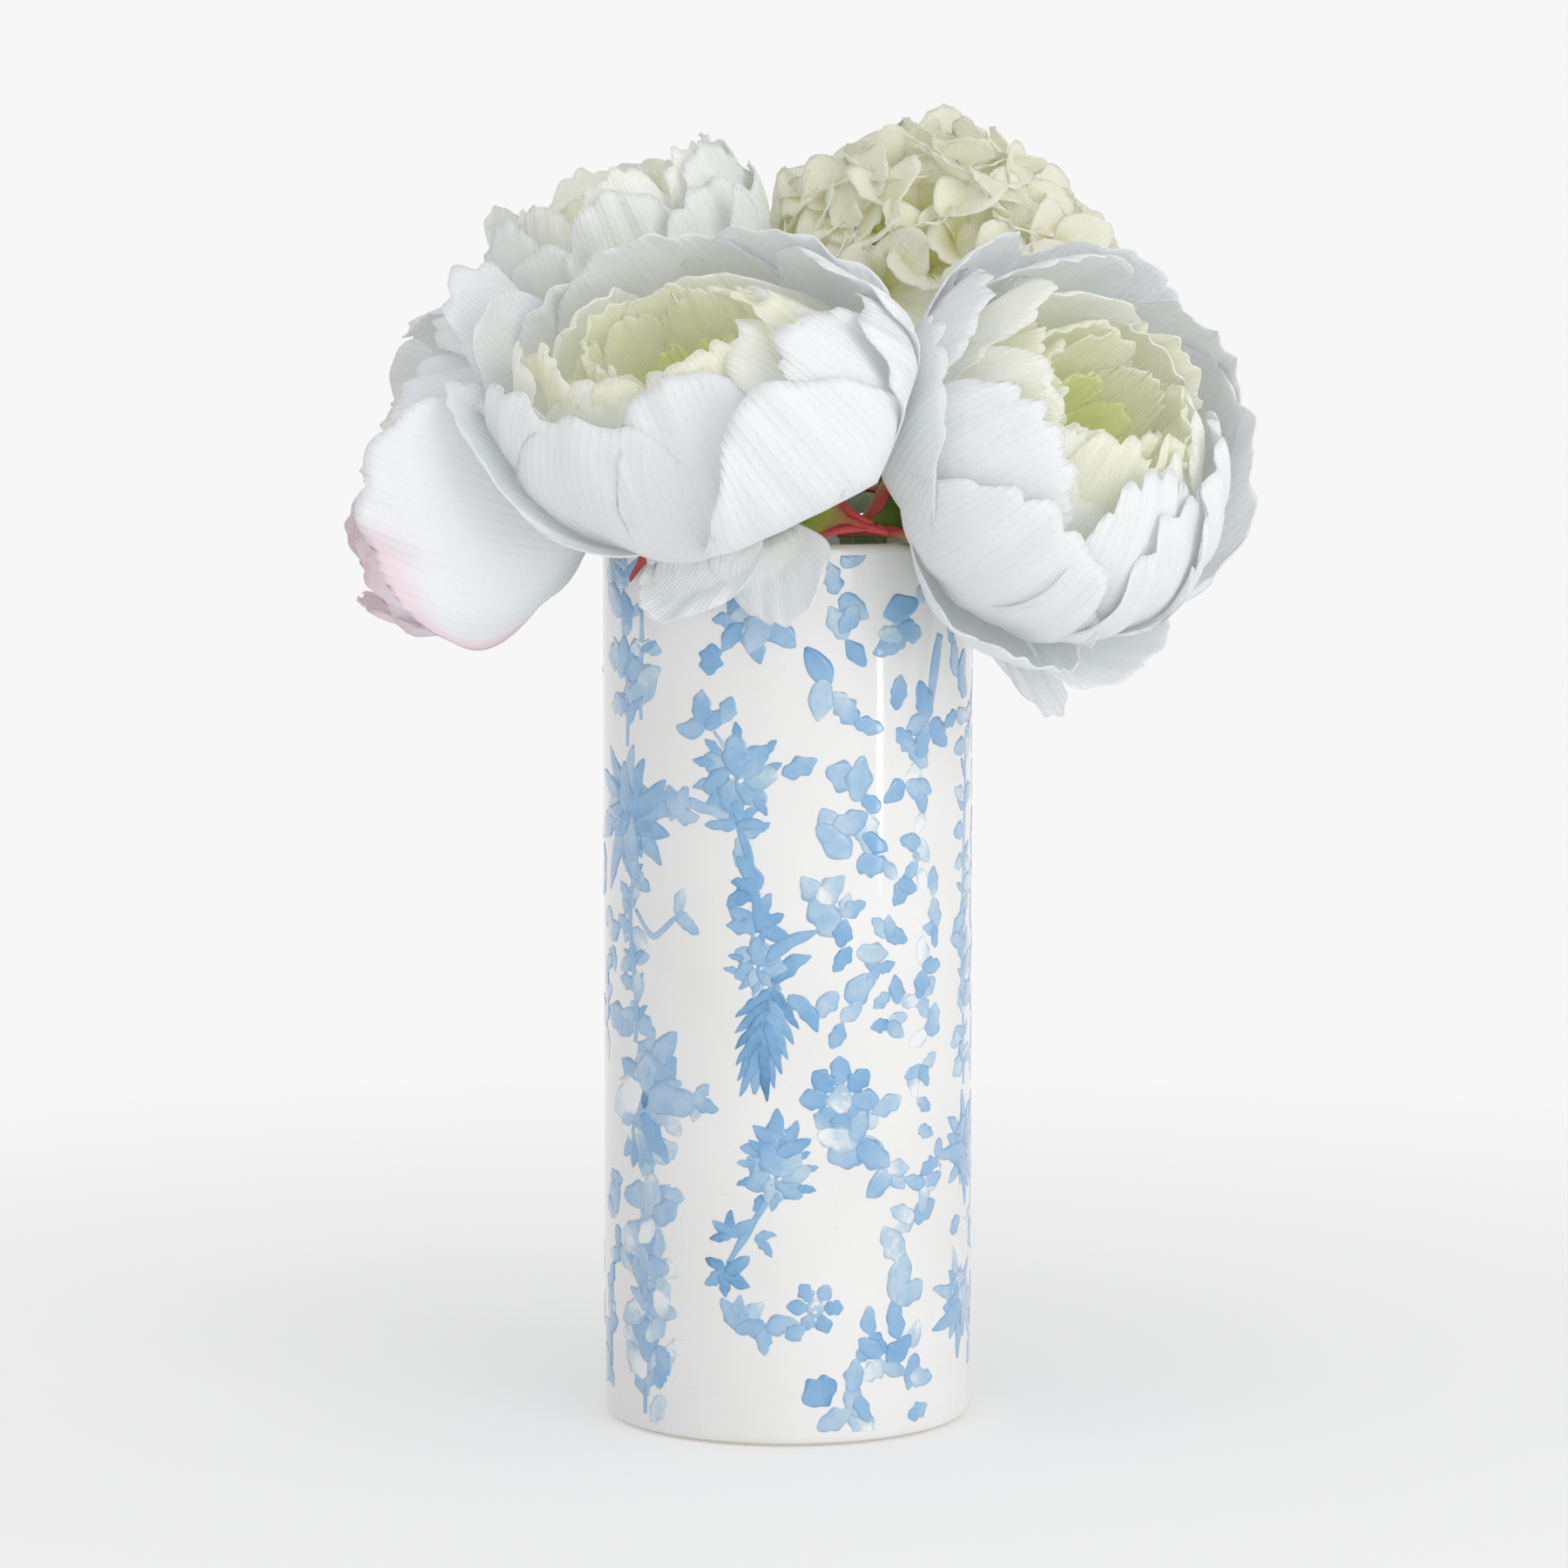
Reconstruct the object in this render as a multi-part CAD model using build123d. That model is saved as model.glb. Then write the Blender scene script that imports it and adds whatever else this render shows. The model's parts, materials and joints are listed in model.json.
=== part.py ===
from build123d import *

import os
from dataclasses import dataclass
from math import cos, radians, sin, sqrt

# A porcelain cylinder vase that holds four artificial peonies and one artificial hydrangea.
#
# Millimetres. +Z up, origin at the centre of the face the vase stands on; -Y is the front.
# Every flower stands in the vase on its own wire stem. The stem is straight where it slides
# through the mouth, bends once near the rim, and ends in a peg that its head is pushed on.

# ---- Vase ----
VASE_HEIGHT = 254.0
VASE_RADIUS = 53.0
WALL = 4.5
FLOOR = 6.0
LIP_ROUND = 2.1
FOOT_ROUND = 3.5
FOOT_RING_WIDTH = 5.0
FOOT_RING_HEIGHT = 1.6
INNER_CORNER = 8.0
BORE_RADIUS = VASE_RADIUS - WALL

# ---- Stems ----
STEM_RADIUS = 2.3
PEG_RADIUS = 1.5
PEG_CLEARANCE = 0.08
PEG_OVERLAP = 1.0  # how far the peg starts inside the stem
COLLAR_MARGIN = 1.0  # straight stem below what is pushed on its end
STEM_END_RADIUS = 38.0  # how far from the vase's axis each stem ends
STEM_END_HEIGHT = 60.0
STEM_SPIRAL = 40.0  # degrees; every stem crosses the vase turned by this, so that none of them meet
MOUTH_RADIUS = 41.0  # how far from the axis each stem's line passes the rim
MOUTH_HEIGHT = VASE_HEIGHT + 2.0

# ---- Bloom parts, along the bloom's own axis from the top of the calyx ----
CUP_THICKNESS = 2.0
CUP_GAP = 1.0  # between one petal cup and the next
CALYX_TOP_RADIUS = 7.0
CALYX_FOOT_RADIUS = 3.4
CALYX_HEIGHT = 9.0
SEPAL_LENGTH = 14.0
SEPAL_WIDTH = 7.5
SEPAL_COUNT = 5
SEPAL_INSET = 2.5  # how far inside the cup's edge each sepal starts
SEPAL_RISE = 12.0  # degrees that each sepal tilts up towards the petals
SHEET = 0.8  # moulded leaf and sepal thickness
CORE_SHARE = 0.24  # of the bloom's radius
CORE_PEG_SHARE = 0.8  # how far the peg goes into the core, of the core's radius
PETAL_CUPS = (  # name, radius as a share of the bloom's, brim over its own centre as a share of its radius
    ("outer_petals", 1.0, 0.30),
    ("middle_petals", 0.74, 0.42),
    ("inner_petals", 0.48, 0.50),
)

# ---- Leaves ----
CLIP_HEIGHT = 5.0
CLIP_WALL = 1.0
RUNNING_CLEARANCE = 0.05
PETIOLE_RADIUS = 0.9
PETIOLE_LENGTH = 9.0
BLADE_OVERLAP = 3.0  # of the blade on the petiole
LEAF_WIDTH_SHARE = 0.42  # of the blade's length

# ---- Hydrangea head ----
DOME_THICKNESS = 14.0
BRANCH_RADIUS = 1.2
BRANCH_TILTS = ((0.0, 1), (38.0, 5), (68.0, 8))  # degrees off the head's axis, and how many there
BRANCH_TIP_GAP = 1.2
DOME_DEPTH_SHARE = 0.25  # how far the dome reaches below its centre, of its radius
HUB_RADIUS = 3.0
HUB_GAP = 0.2  # between the stem's collar and the hub
HUB_DROP_SHARE = 0.8  # how far the hub is below the dome's centre, of the dome's inner radius
HUB_WALL = 0.5  # over the end of the peg


@dataclass
class Flower:
    name: str
    head: tuple  # centre of the round head
    facing: tuple  # the way the head opens
    radius: float
    lean: float  # degrees round the rim, from +X, where the stem passes it
    bend_from: float  # how far above the mouth the straight part ends
    leaf_turn: float  # degrees round the vertical, from +X, that the leaf points
    leaf_pitch: float  # degrees it rises
    leaf_length: float


PEONIES = (
    Flower("peony_front", (-25, -83, 298), (-0.33, -0.72, 0.61), 53, -103, -25, 60, 62, 32),
    Flower("peony_right", (78, -61, 286), (0.55, -0.72, 0.42), 49, -33, -25, 120, 62, 32),
    Flower("peony_upper", (-44, 28, 331), (-0.32, -0.25, 0.91), 35, 143, 6, 150, 12, 40),
    Flower("peony_left", (-93, -13, 275), (-0.88, -0.33, 0.28), 40, 193, -25, -20, 62, 30),
)
HYDRANGEA = Flower("hydrangea", (40, 46, 312), (0.30, 0.35, 0.88), 50, 48, 6, 100, 12, 44)


def polar(radius, degrees, height):
    """A point given by its distance from the vase's axis, its bearing and its height."""
    return Vector(radius * cos(radians(degrees)), radius * sin(radians(degrees)), height)


# ---- Vase ----
def vase_body():
    """One turned wall with a rounded lip, a floor, and a low unglazed ring to stand on."""
    outline = make_face(
        Polyline(
            (0, FOOT_RING_HEIGHT),
            (VASE_RADIUS - FOOT_ROUND - FOOT_RING_WIDTH, FOOT_RING_HEIGHT),
            (VASE_RADIUS - FOOT_ROUND - FOOT_RING_WIDTH + FOOT_RING_HEIGHT, 0),
            (VASE_RADIUS, 0),
            (VASE_RADIUS, VASE_HEIGHT),
            (BORE_RADIUS, VASE_HEIGHT),
            (BORE_RADIUS, FLOOR),
            (0, FLOOR),
            close=True,
        )
    )
    lip = [corner_of(outline, radius, VASE_HEIGHT) for radius in (VASE_RADIUS, BORE_RADIUS)]
    outline = fillet(lip, LIP_ROUND)
    outline = fillet(corner_of(outline, VASE_RADIUS, 0), FOOT_ROUND)
    outline = fillet(corner_of(outline, BORE_RADIUS, FLOOR), INNER_CORNER)
    return revolve(Plane.XZ * outline, Axis.Z)


def corner_of(face, x, y):
    """The corner of a flat outline nearest to (x, y)."""
    return face.vertices().sort_by_distance((x, y, 0))[0]


# ---- Where each flower stands ----
def stem_points(flower):
    """(lower end, end of the straight part, direction the stem slides in)."""
    low = polar(STEM_END_RADIUS, flower.lean + 180 + STEM_SPIRAL, STEM_END_HEIGHT)
    mouth = polar(MOUTH_RADIUS, flower.lean, MOUTH_HEIGHT)
    way = (mouth - low).normalized()
    return low, mouth + way * flower.bend_from, way


def head_plane(flower, drop):
    """A plane at the top of the calyx, drop below the head's centre, facing the way the head opens."""
    facing = Vector(*flower.facing).normalized()
    return Plane(Vector(*flower.head) - facing * drop, z_dir=facing)


def peony_plane(flower):
    return head_plane(flower, flower.radius + CUP_GAP)


# ---- Pieces that every flower has ----
def stem(flower, top, collar, peg_length):
    """A plastic-sleeved wire: straight in the vase, one bend, a straight collar, then a thinner peg."""
    low, bend_start, way = stem_points(flower)
    bend_end = top.origin - top.z_dir * collar
    path = Wire(
        [
            Line(low, bend_start),
            Spline(bend_start, bend_end, tangents=[way, top.z_dir]),
            Line(bend_end, top.origin),
        ]
    )
    sleeve = sweep(Plane(low, z_dir=way) * Circle(STEM_RADIUS), path=path)
    peg_plane = Plane(top.origin - top.z_dir * PEG_OVERLAP, z_dir=top.z_dir)
    peg = peg_plane * extrude(Circle(PEG_RADIUS), peg_length + PEG_OVERLAP)
    return sleeve + peg


def blade(length, width):
    """A flat pointed leaf along +X from the origin, as two arcs."""
    half = length / 2
    edges = [
        ThreePointArc((0, 0), (half, width / 2), (length, 0)),
        ThreePointArc((length, 0), (half, -width / 2), (0, 0)),
    ]
    return extrude(make_face(edges), SHEET)


def leaf(flower):
    """A leaf blade on a short petiole from a clip that sits on the top of the straight stem."""
    _, bend_start, way = stem_points(flower)
    bore = STEM_RADIUS + RUNNING_CLEARANCE
    foot = bend_start - way * CLIP_HEIGHT
    turn, pitch = radians(flower.leaf_turn), radians(flower.leaf_pitch)
    heading = Vector(cos(turn) * cos(pitch), sin(turn) * cos(pitch), sin(pitch))
    across = Vector(-sin(turn), cos(turn), 0)
    root = foot + way * CLIP_HEIGHT / 2
    clip = Plane(foot, z_dir=way) * extrude(Circle(bore + CLIP_WALL), CLIP_HEIGHT)
    petiole = Plane(root, z_dir=heading) * extrude(Circle(PETIOLE_RADIUS), PETIOLE_LENGTH)
    plate = Plane(root, x_dir=heading, z_dir=heading.cross(across)) * Pos(
        PETIOLE_LENGTH - BLADE_OVERLAP, 0, -SHEET / 2
    ) * blade(flower.leaf_length, flower.leaf_length * LEAF_WIDTH_SHARE)
    passage = Plane(foot - way, z_dir=way) * extrude(Circle(bore), 3 * CLIP_HEIGHT)
    return clip + petiole + plate - passage


# ---- Peony ----
def calyx(top):
    """A moulded cup under the petals with a bore for the stem and five spread sepals."""
    profile = make_face(
        Polyline(
            (STEM_RADIUS + RUNNING_CLEARANCE, -CALYX_HEIGHT),
            (CALYX_FOOT_RADIUS, -CALYX_HEIGHT),
            (CALYX_TOP_RADIUS, 0),
            (STEM_RADIUS + RUNNING_CLEARANCE, 0),
            close=True,
        )
    )
    cup = revolve(Plane.XZ * profile, Axis.Z)
    for i in range(SEPAL_COUNT):
        root = Rot(0, 0, 360 / SEPAL_COUNT * i) * Pos(CALYX_TOP_RADIUS - SEPAL_INSET, 0, -SHEET)
        cup = cup + root * Rot(0, -SEPAL_RISE, 0) * blade(SEPAL_LENGTH, SEPAL_WIDTH)
    return top * cup


def petal_cup(top, radius, bottom, opening):
    """A layer of petals as one round cup with a peg hole; opening is its brim's height over its centre."""
    centre = bottom + radius
    shell = Pos(0, 0, centre) * (Sphere(radius) - Sphere(radius - CUP_THICKNESS))
    brim = Pos(0, 0, centre + opening * radius + radius) * Box(4 * radius, 4 * radius, 2 * radius)
    return top * (shell - brim - Cylinder(PEG_RADIUS + PEG_CLEARANCE, 4 * radius))


def core(top, radius, bottom):
    """The round heart of the flower, with a blind hole that the peg ends in."""
    ball = Pos(0, 0, bottom + radius) * Sphere(radius)
    hole = Pos(0, 0, bottom) * Cylinder(PEG_RADIUS + PEG_CLEARANCE, 2 * radius)
    return top * (ball - hole)


def peony(flower):
    """{node name: solid} for one peony, nested cups on one peg."""
    top = peony_plane(flower)
    step = CUP_THICKNESS + CUP_GAP
    heart = CORE_SHARE * flower.radius
    heart_bottom = CUP_GAP + step * len(PETAL_CUPS)
    pieces = {
        "stem": stem(flower, top, CALYX_HEIGHT + COLLAR_MARGIN, heart_bottom + CORE_PEG_SHARE * heart),
        "leaf": leaf(flower),
        "calyx": calyx(top),
        "core": core(top, heart, heart_bottom),
    }
    for i, (name, share, opening) in enumerate(PETAL_CUPS):
        pieces[name] = petal_cup(top, share * flower.radius, CUP_GAP + step * i, opening)
    return {f"{flower.name}_{name}": solid for name, solid in pieces.items()}


# ---- Hydrangea ----
def branches(top, reach):
    """Thin rods that spread from a small hub on the stem's end to the florets."""
    hub = Sphere(HUB_RADIUS)
    for tilt, count in BRANCH_TILTS:
        for i in range(count):
            rod = Rot(0, 0, 360 / count * i) * Rot(0, tilt, 0) * extrude(Circle(BRANCH_RADIUS), reach(tilt))
            hub = hub + rod
    socket = Pos(0, 0, -HUB_RADIUS) * Cylinder(PEG_RADIUS + PEG_CLEARANCE, 2 * HUB_RADIUS)
    return top * Pos(0, 0, HUB_RADIUS + HUB_GAP) * (hub - socket)


def hydrangea(flower):
    """{node name: solid} for the hydrangea: branches that carry one dome of florets."""
    inner = flower.radius - DOME_THICKNESS
    hub_drop = HUB_DROP_SHARE * inner
    drop = hub_drop + HUB_RADIUS + HUB_GAP
    top = head_plane(flower, drop)

    def reach(tilt):
        """How far a rod at this tilt goes from the hub to the inside of the dome."""
        lean = radians(tilt)
        along = hub_drop * cos(lean)
        return along + sqrt(inner**2 - (hub_drop * sin(lean)) ** 2) - BRANCH_TIP_GAP

    dome = Pos(0, 0, drop) * (Sphere(flower.radius) - Sphere(inner))
    below = Pos(0, 0, drop - (DOME_DEPTH_SHARE + 1) * flower.radius) * Box(
        4 * flower.radius, 4 * flower.radius, 2 * flower.radius
    )
    pieces = {
        "stem": stem(flower, top, COLLAR_MARGIN, HUB_RADIUS - HUB_WALL),
        "leaf": leaf(flower),
        "branches": branches(top, reach),
        "florets": top * (dome - below),
    }
    return {f"{flower.name}_{name}": solid for name, solid in pieces.items()}


def build():
    """Every node of the object, by name."""
    nodes = {"vase_body": vase_body()}
    for flower in PEONIES:
        nodes.update(peony(flower))
    nodes.update(hydrangea(HYDRANGEA))
    return nodes


if __name__ == "__main__":
    os.makedirs("parts", exist_ok=True)
    for name, solid in build().items():
        export_step(solid, f"parts/{name}.step")
        print(name, round(solid.volume), [round(v, 1) for v in solid.bounding_box().size])
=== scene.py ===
import json
import math
import random

import bpy
import numpy as np
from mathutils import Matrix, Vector


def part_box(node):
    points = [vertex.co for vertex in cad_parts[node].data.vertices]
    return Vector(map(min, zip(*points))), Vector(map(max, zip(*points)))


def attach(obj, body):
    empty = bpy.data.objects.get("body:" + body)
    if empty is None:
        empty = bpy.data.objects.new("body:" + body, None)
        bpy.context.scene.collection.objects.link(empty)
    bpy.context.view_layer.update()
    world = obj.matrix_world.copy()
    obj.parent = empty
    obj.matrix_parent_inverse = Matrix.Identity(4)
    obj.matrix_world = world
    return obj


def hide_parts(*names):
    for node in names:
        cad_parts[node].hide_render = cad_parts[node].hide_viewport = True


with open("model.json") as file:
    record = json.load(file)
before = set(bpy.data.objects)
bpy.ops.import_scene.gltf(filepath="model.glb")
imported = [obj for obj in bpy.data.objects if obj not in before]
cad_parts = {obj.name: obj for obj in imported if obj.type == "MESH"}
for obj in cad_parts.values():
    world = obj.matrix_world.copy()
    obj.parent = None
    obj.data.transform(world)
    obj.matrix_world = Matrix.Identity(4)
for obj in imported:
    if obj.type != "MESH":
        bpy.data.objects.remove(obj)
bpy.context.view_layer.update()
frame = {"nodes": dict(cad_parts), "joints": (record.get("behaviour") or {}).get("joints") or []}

# The looks of a painted porcelain cylinder vase with artificial peonies and a hydrangea.
# Metres, +Z up, the vase's axis at x = y = 0, the front towards -Y. Each flower head has a frame of
# its own, from its turn joint: z the way it opens, x its upper side.

MM = 0.001
UP = np.array([0.0, 0.0, 1.0])
GOLDEN_ANGLE = math.radians(137.508)
LIP_BAND = 2.5 * MM  # how far down from the top of the lip the glaze is drawn a little darker and warmer
FOOT_BAND = 1.3 * MM  # how far up from the bottom the glaze is drawn darker, browner and rougher
PETAL_CLOTH = 0.45 * MM
THIN_CLOTH = 0.35 * MM  # of florets and leaves
SEPAL_PLASTIC = 0.6 * MM
PETAL_GAP = 0.9 * MM  # between a head and the flat wall that parts it from a neighbour
LOOSE_GAP = 2.4 * MM  # between a head's loose petals and the vase
DRAPE_GAP = 1.8 * MM  # between the sepals and the vase
DRAPE_DEPTH = 20 * MM  # how deep under the rim the circle lies from which sepals are spread
NEIGHBOUR = 1.6  # heads this many times their two radii apart, or nearer, are neighbours
TINY = 1e-6  # keeps divisions from failing
JOINTS = {joint["name"]: joint for joint in frame["joints"]}
PEONIES = ("peony_front", "peony_right", "peony_upper", "peony_left")
FLOWERS = (*PEONIES, "hydrangea")


# ---------------- small tools
def unit(v):
    """A vector at length 1."""
    v = np.array(v, float)
    return v / np.linalg.norm(v)


def wave(rng, count, low, high):
    """A smooth random function of one number: a few sines, between about -1 and 1."""
    terms = [(rng.uniform(low, high), rng.uniform(0, 2 * math.pi)) for _ in range(count)]
    return lambda x: sum(np.sin(2 * math.pi * f * x + p) for f, p in terms) / count


def smoothstep(x, low, high):
    """0 up to low, 1 from high on, and smooth between."""
    t = np.clip((x - low) / (high - low), 0, 1)
    return t * t * (3 - 2 * t)


def spin(grid, degrees):
    """Points turned about z."""
    a = math.radians(degrees)
    x, y, z = grid[..., 0], grid[..., 1], grid[..., 2]
    return np.stack([x * math.cos(a) - y * math.sin(a), x * math.sin(a) + y * math.cos(a), z], axis=-1)


def lathe(base, axes, profile, count):
    """A profile of (radius, height) turned round the last of three axes, as a grid of points."""
    around = np.linspace(0, 2 * math.pi, count, endpoint=False)
    radius, height = (column[:, None] for column in np.asarray(profile, float).T)
    local = np.stack([radius * np.cos(around), radius * np.sin(around), height + 0 * around], axis=-1)
    return base + local @ np.array(axes)


# ---------------- node materials
class Nodes:
    """A short way to write a node tree."""

    def __init__(self, name):
        self.material = bpy.data.materials.new(name)
        self.material.use_nodes = True
        self.tree = self.material.node_tree
        self.tree.nodes.clear()
        self.output = self.tree.nodes.new("ShaderNodeOutputMaterial")

    def new(self, kind, **inputs):
        """A node with its inputs set by name (spaces as underscores) to a value or another's socket."""
        node = self.tree.nodes.new("ShaderNode" + kind)
        for key, value in inputs.items():
            self.set(node.inputs[key.replace("_", " ")], value)
        return node

    def set(self, socket, value):
        """Links another node or socket to a socket, or gives it a value."""
        if isinstance(value, bpy.types.NodeSocket):
            self.tree.links.new(value, socket)
        elif isinstance(value, bpy.types.Node):
            self.tree.links.new(value.outputs[0], socket)
        else:
            socket.default_value = value

    def math(self, operation, a, b=0.0, clamp=False):
        node = self.tree.nodes.new("ShaderNodeMath")
        node.operation = operation
        node.use_clamp = clamp
        self.set(node.inputs[0], a)
        self.set(node.inputs[1], b)
        return node.outputs[0]

    def add(self, a, b, clamp=False):
        return self.math("ADD", a, b, clamp)

    def times(self, a, b):
        return self.math("MULTIPLY", a, b)

    def attribute(self, name):
        """A number that the mesh holds at each point."""
        node = self.tree.nodes.new("ShaderNodeAttribute")
        node.attribute_name = name
        return node.outputs["Fac"]

    def noise(self, size, detail=3.0, roughness=0.5, stretch=(1, 1, 1)):
        """Noise whose features are about size metres across."""
        place = self.new("Mapping", Vector=self.new("TexCoord").outputs["Object"], Scale=stretch)
        node = self.new("TexNoise", Vector=place, Scale=1 / size, Detail=detail, Roughness=roughness)
        return node.outputs["Fac"]

    def ramp(self, factor, *stops):
        """Colours along a factor, as (position, (r, g, b))."""
        node = self.tree.nodes.new("ShaderNodeValToRGB")
        self.set(node.inputs[0], factor)
        elements = node.color_ramp.elements
        while len(elements) < len(stops):
            elements.new(0.5)
        for element, (position, colour) in zip(elements, stops):
            element.position = position
            element.color = (*colour, 1)
        return node.outputs[0]

    def mix(self, factor, a, b, blend="MIX"):
        """Two colours mixed: a at factor 0, b at 1."""
        node = self.tree.nodes.new("ShaderNodeMix")
        node.data_type = "RGBA"
        node.blend_type = blend
        self.set(node.inputs[0], factor)
        for socket, colour in ((node.inputs[6], a), (node.inputs[7], b)):
            self.set(socket, (*colour, 1) if isinstance(colour, tuple) else colour)
        return node.outputs[2]

    def spread(self, value, low, high):
        """A 0 to 1 value spread between low and high."""
        return self.new("MapRange", Value=value, To_Min=low, To_Max=high).outputs[0]

    def bump(self, height, distance, strength=1.0, normal=None):
        node = self.new("Bump", Height=height, Distance=distance, Strength=strength)
        if normal is not None:
            self.set(node.inputs["Normal"], normal)
        return node.outputs[0]

    def shaders(self, factor, a, b):
        """Two shaders mixed: a at factor 0, b at 1."""
        node = self.new("MixShader", Fac=factor)
        self.set(node.inputs[1], a)
        self.set(node.inputs[2], b)
        return node

    def finish(self, shader):
        self.set(self.output.inputs["Surface"], shader)
        return self.material

    def principled(self, **inputs):
        return self.finish(self.new("BsdfPrincipled", **inputs))


def porcelain():
    """White glaze, faintly uneven, drawn darker, browner and rougher at the bottom edge and a little darker
    and warmer at the top of the lip.
    """
    n = Nodes("porcelain_glaze")
    geometry = n.new("NewGeometry")
    height = n.new("SeparateXYZ", Vector=geometry.outputs["Position"]).outputs["Z"]
    cloud = n.noise(0.045, detail=2)
    glaze = n.ramp(cloud, (0.3, (0.78, 0.78, 0.765)), (0.7, (0.82, 0.82, 0.81)))
    speck = n.math("GREATER_THAN", n.noise(0.0011, detail=0), 0.79)
    glaze = n.mix(n.times(speck, 0.12), glaze, (0.55, 0.52, 0.46))
    lip = n.math("GREATER_THAN", height, VASE_HEIGHT - LIP_BAND)
    glaze = n.mix(n.times(lip, 0.5), glaze, (0.74, 0.71, 0.64))
    foot = n.math("LESS_THAN", height, FOOT_BAND)
    colour = n.mix(foot, glaze, (0.62, 0.58, 0.52))
    roughness = n.add(n.spread(n.noise(0.012), 0.06, 0.14), n.times(foot, 0.6))
    ripple = n.bump(n.noise(0.02, detail=1), 0.12 * MM)
    coat = dict(Coat_Weight=0.5, Coat_Roughness=0.04)
    return n.principled(Base_Color=colour, Roughness=roughness, Normal=ripple, IOR=1.52, **coat)


def paint():
    """Blue brushwork: washes of uneven strength, from bare white to full blue by their tone."""
    n = Nodes("blue_brushwork")
    wash = n.spread(n.noise(0.006, detail=3, roughness=0.6), -0.26, 0.26)
    streak = n.spread(n.noise(0.0016, detail=1), -0.06, 0.06)
    tone = n.add(n.attribute("tone"), n.add(wash, streak), clamp=True)
    colour = n.ramp(
        tone,
        (0.0, (0.80, 0.83, 0.84)),
        (0.16, (0.47, 0.61, 0.72)),
        (0.42, (0.28, 0.47, 0.68)),
        (0.72, (0.17, 0.38, 0.63)),
        (1.0, (0.06, 0.20, 0.40)),
    )
    roughness = n.spread(n.noise(0.006), 0.08, 0.16)
    coat = dict(Coat_Weight=0.5, Coat_Roughness=0.05)
    return n.principled(Base_Color=colour, Roughness=roughness, **coat)


BLUSH = (0.90, 0.62, 0.70)


def petal_cloth(name, root, middle, tip, glow, painted_glow):
    """Pressed polyester petals: tinted at the root, with fine lengthwise veins and a light weave.

    glow is the share of light let through. The last argument is painted glow: the cloth gives off light in
    its own colour, though it is no lamp, which brightens its shade as scattered light would.
    """
    n = Nodes(name)
    along = n.attribute("along")
    across = n.attribute("across")
    blotch = n.spread(n.noise(0.014, detail=2), -0.10, 0.10)
    place = n.add(n.add(along, blotch), n.attribute("tone"), clamp=True)
    colour = n.ramp(place, (0.02, root), (0.30, middle), (0.62, tip))
    vein_wave = n.math("SINE", n.times(across, 46.0))
    veins = n.times(n.math("POWER", n.math("ABSOLUTE", vein_wave), 6.0), 0.5)
    fade = n.math("SUBTRACT", 1.15, along, clamp=True)
    colour = n.mix(n.times(n.times(veins, fade), 0.12), colour, middle, "MULTIPLY")
    colour = n.mix(n.times(n.attribute("blush"), n.spread(n.noise(0.01), 0.4, 1.0)), colour, BLUSH)
    weave = n.add(n.noise(0.0005, detail=1), n.times(veins, 2.0))
    crinkle = n.bump(n.noise(0.005, detail=3, roughness=0.6), 0.7 * MM, 0.7)
    normal = n.bump(weave, 0.2 * MM, 0.7, crinkle)
    roughness = n.spread(n.noise(0.01), 0.62, 0.8)
    # Painted glow: emission in the cloth's own colour brightens the petals where they lie in shade; the cloth
    # is no lamp.
    shader = n.new(
        "BsdfPrincipled", Base_Color=colour, Roughness=roughness, Normal=normal, Sheen_Weight=0.15,
        Emission_Color=colour, Emission_Strength=painted_glow, Specular_IOR_Level=0.25,
    )
    through = n.new("BsdfTranslucent", Color=colour, Normal=normal)
    return n.finish(n.shaders(glow, shader, through))


def leaf_cloth():
    """Printed green leaf cloth with a paler midrib and side veins."""
    n = Nodes("leaf_cloth")
    across = n.math("ABSOLUTE", n.attribute("across"))
    along = n.attribute("along")
    patch = n.ramp(n.noise(0.008, detail=3), (0.3, (0.045, 0.10, 0.03)), (0.7, (0.09, 0.17, 0.05)))
    rib = n.math("LESS_THAN", across, 0.06)
    side = n.math("SINE", n.times(n.math("SUBTRACT", along, n.times(across, 0.22)), 70.0))
    side_vein = n.math("GREATER_THAN", side, 0.93)
    veins = n.math("MAXIMUM", rib, n.times(side_vein, 0.6))
    colour = n.mix(n.times(veins, 0.55), patch, (0.22, 0.32, 0.12))
    normal = n.bump(n.add(veins, n.noise(0.0006)), 0.2 * MM, 0.6)
    return n.principled(Base_Color=colour, Normal=normal, Roughness=0.55)


def sepal_plastic():
    """Moulded green sepals that turn red along the edge and at the tip."""
    n = Nodes("sepal_plastic")
    along = n.attribute("along")
    across = n.math("ABSOLUTE", n.attribute("across"))
    mottle = n.spread(n.noise(0.004, detail=3), -0.14, 0.14)
    edge = n.times(n.math("POWER", across, 3.0), 0.28)
    place = n.add(n.add(along, edge), n.add(mottle, n.attribute("tone")), clamp=True)
    colour = n.ramp(
        place,
        (0.1, (0.10, 0.17, 0.03)),
        (0.45, (0.30, 0.42, 0.06)),
        (0.62, (0.42, 0.20, 0.08)),
        (0.85, (0.50, 0.05, 0.05)),
    )
    ribs = n.math("SINE", n.times(n.attribute("across"), 26.0))
    normal = n.bump(n.add(ribs, n.noise(0.001)), 0.08 * MM, 0.5)
    return n.principled(Base_Color=colour, Normal=normal, Roughness=0.5)


def stem_plastic(name, dark, light):
    """Green plastic sleeve with fine lengthwise ribs and a dull moulded skin."""
    n = Nodes(name)
    colour = n.ramp(n.noise(0.007, detail=4, stretch=(1, 1, 0.3)), (0.3, dark), (0.7, light))
    ribs = n.noise(0.0009, detail=1, stretch=(1, 1, 0.04))
    normal = n.bump(ribs, 0.3 * MM, 0.7)
    roughness = n.spread(n.noise(0.003), 0.42, 0.6)
    return n.principled(Base_Color=colour, Normal=normal, Roughness=roughness)


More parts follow.
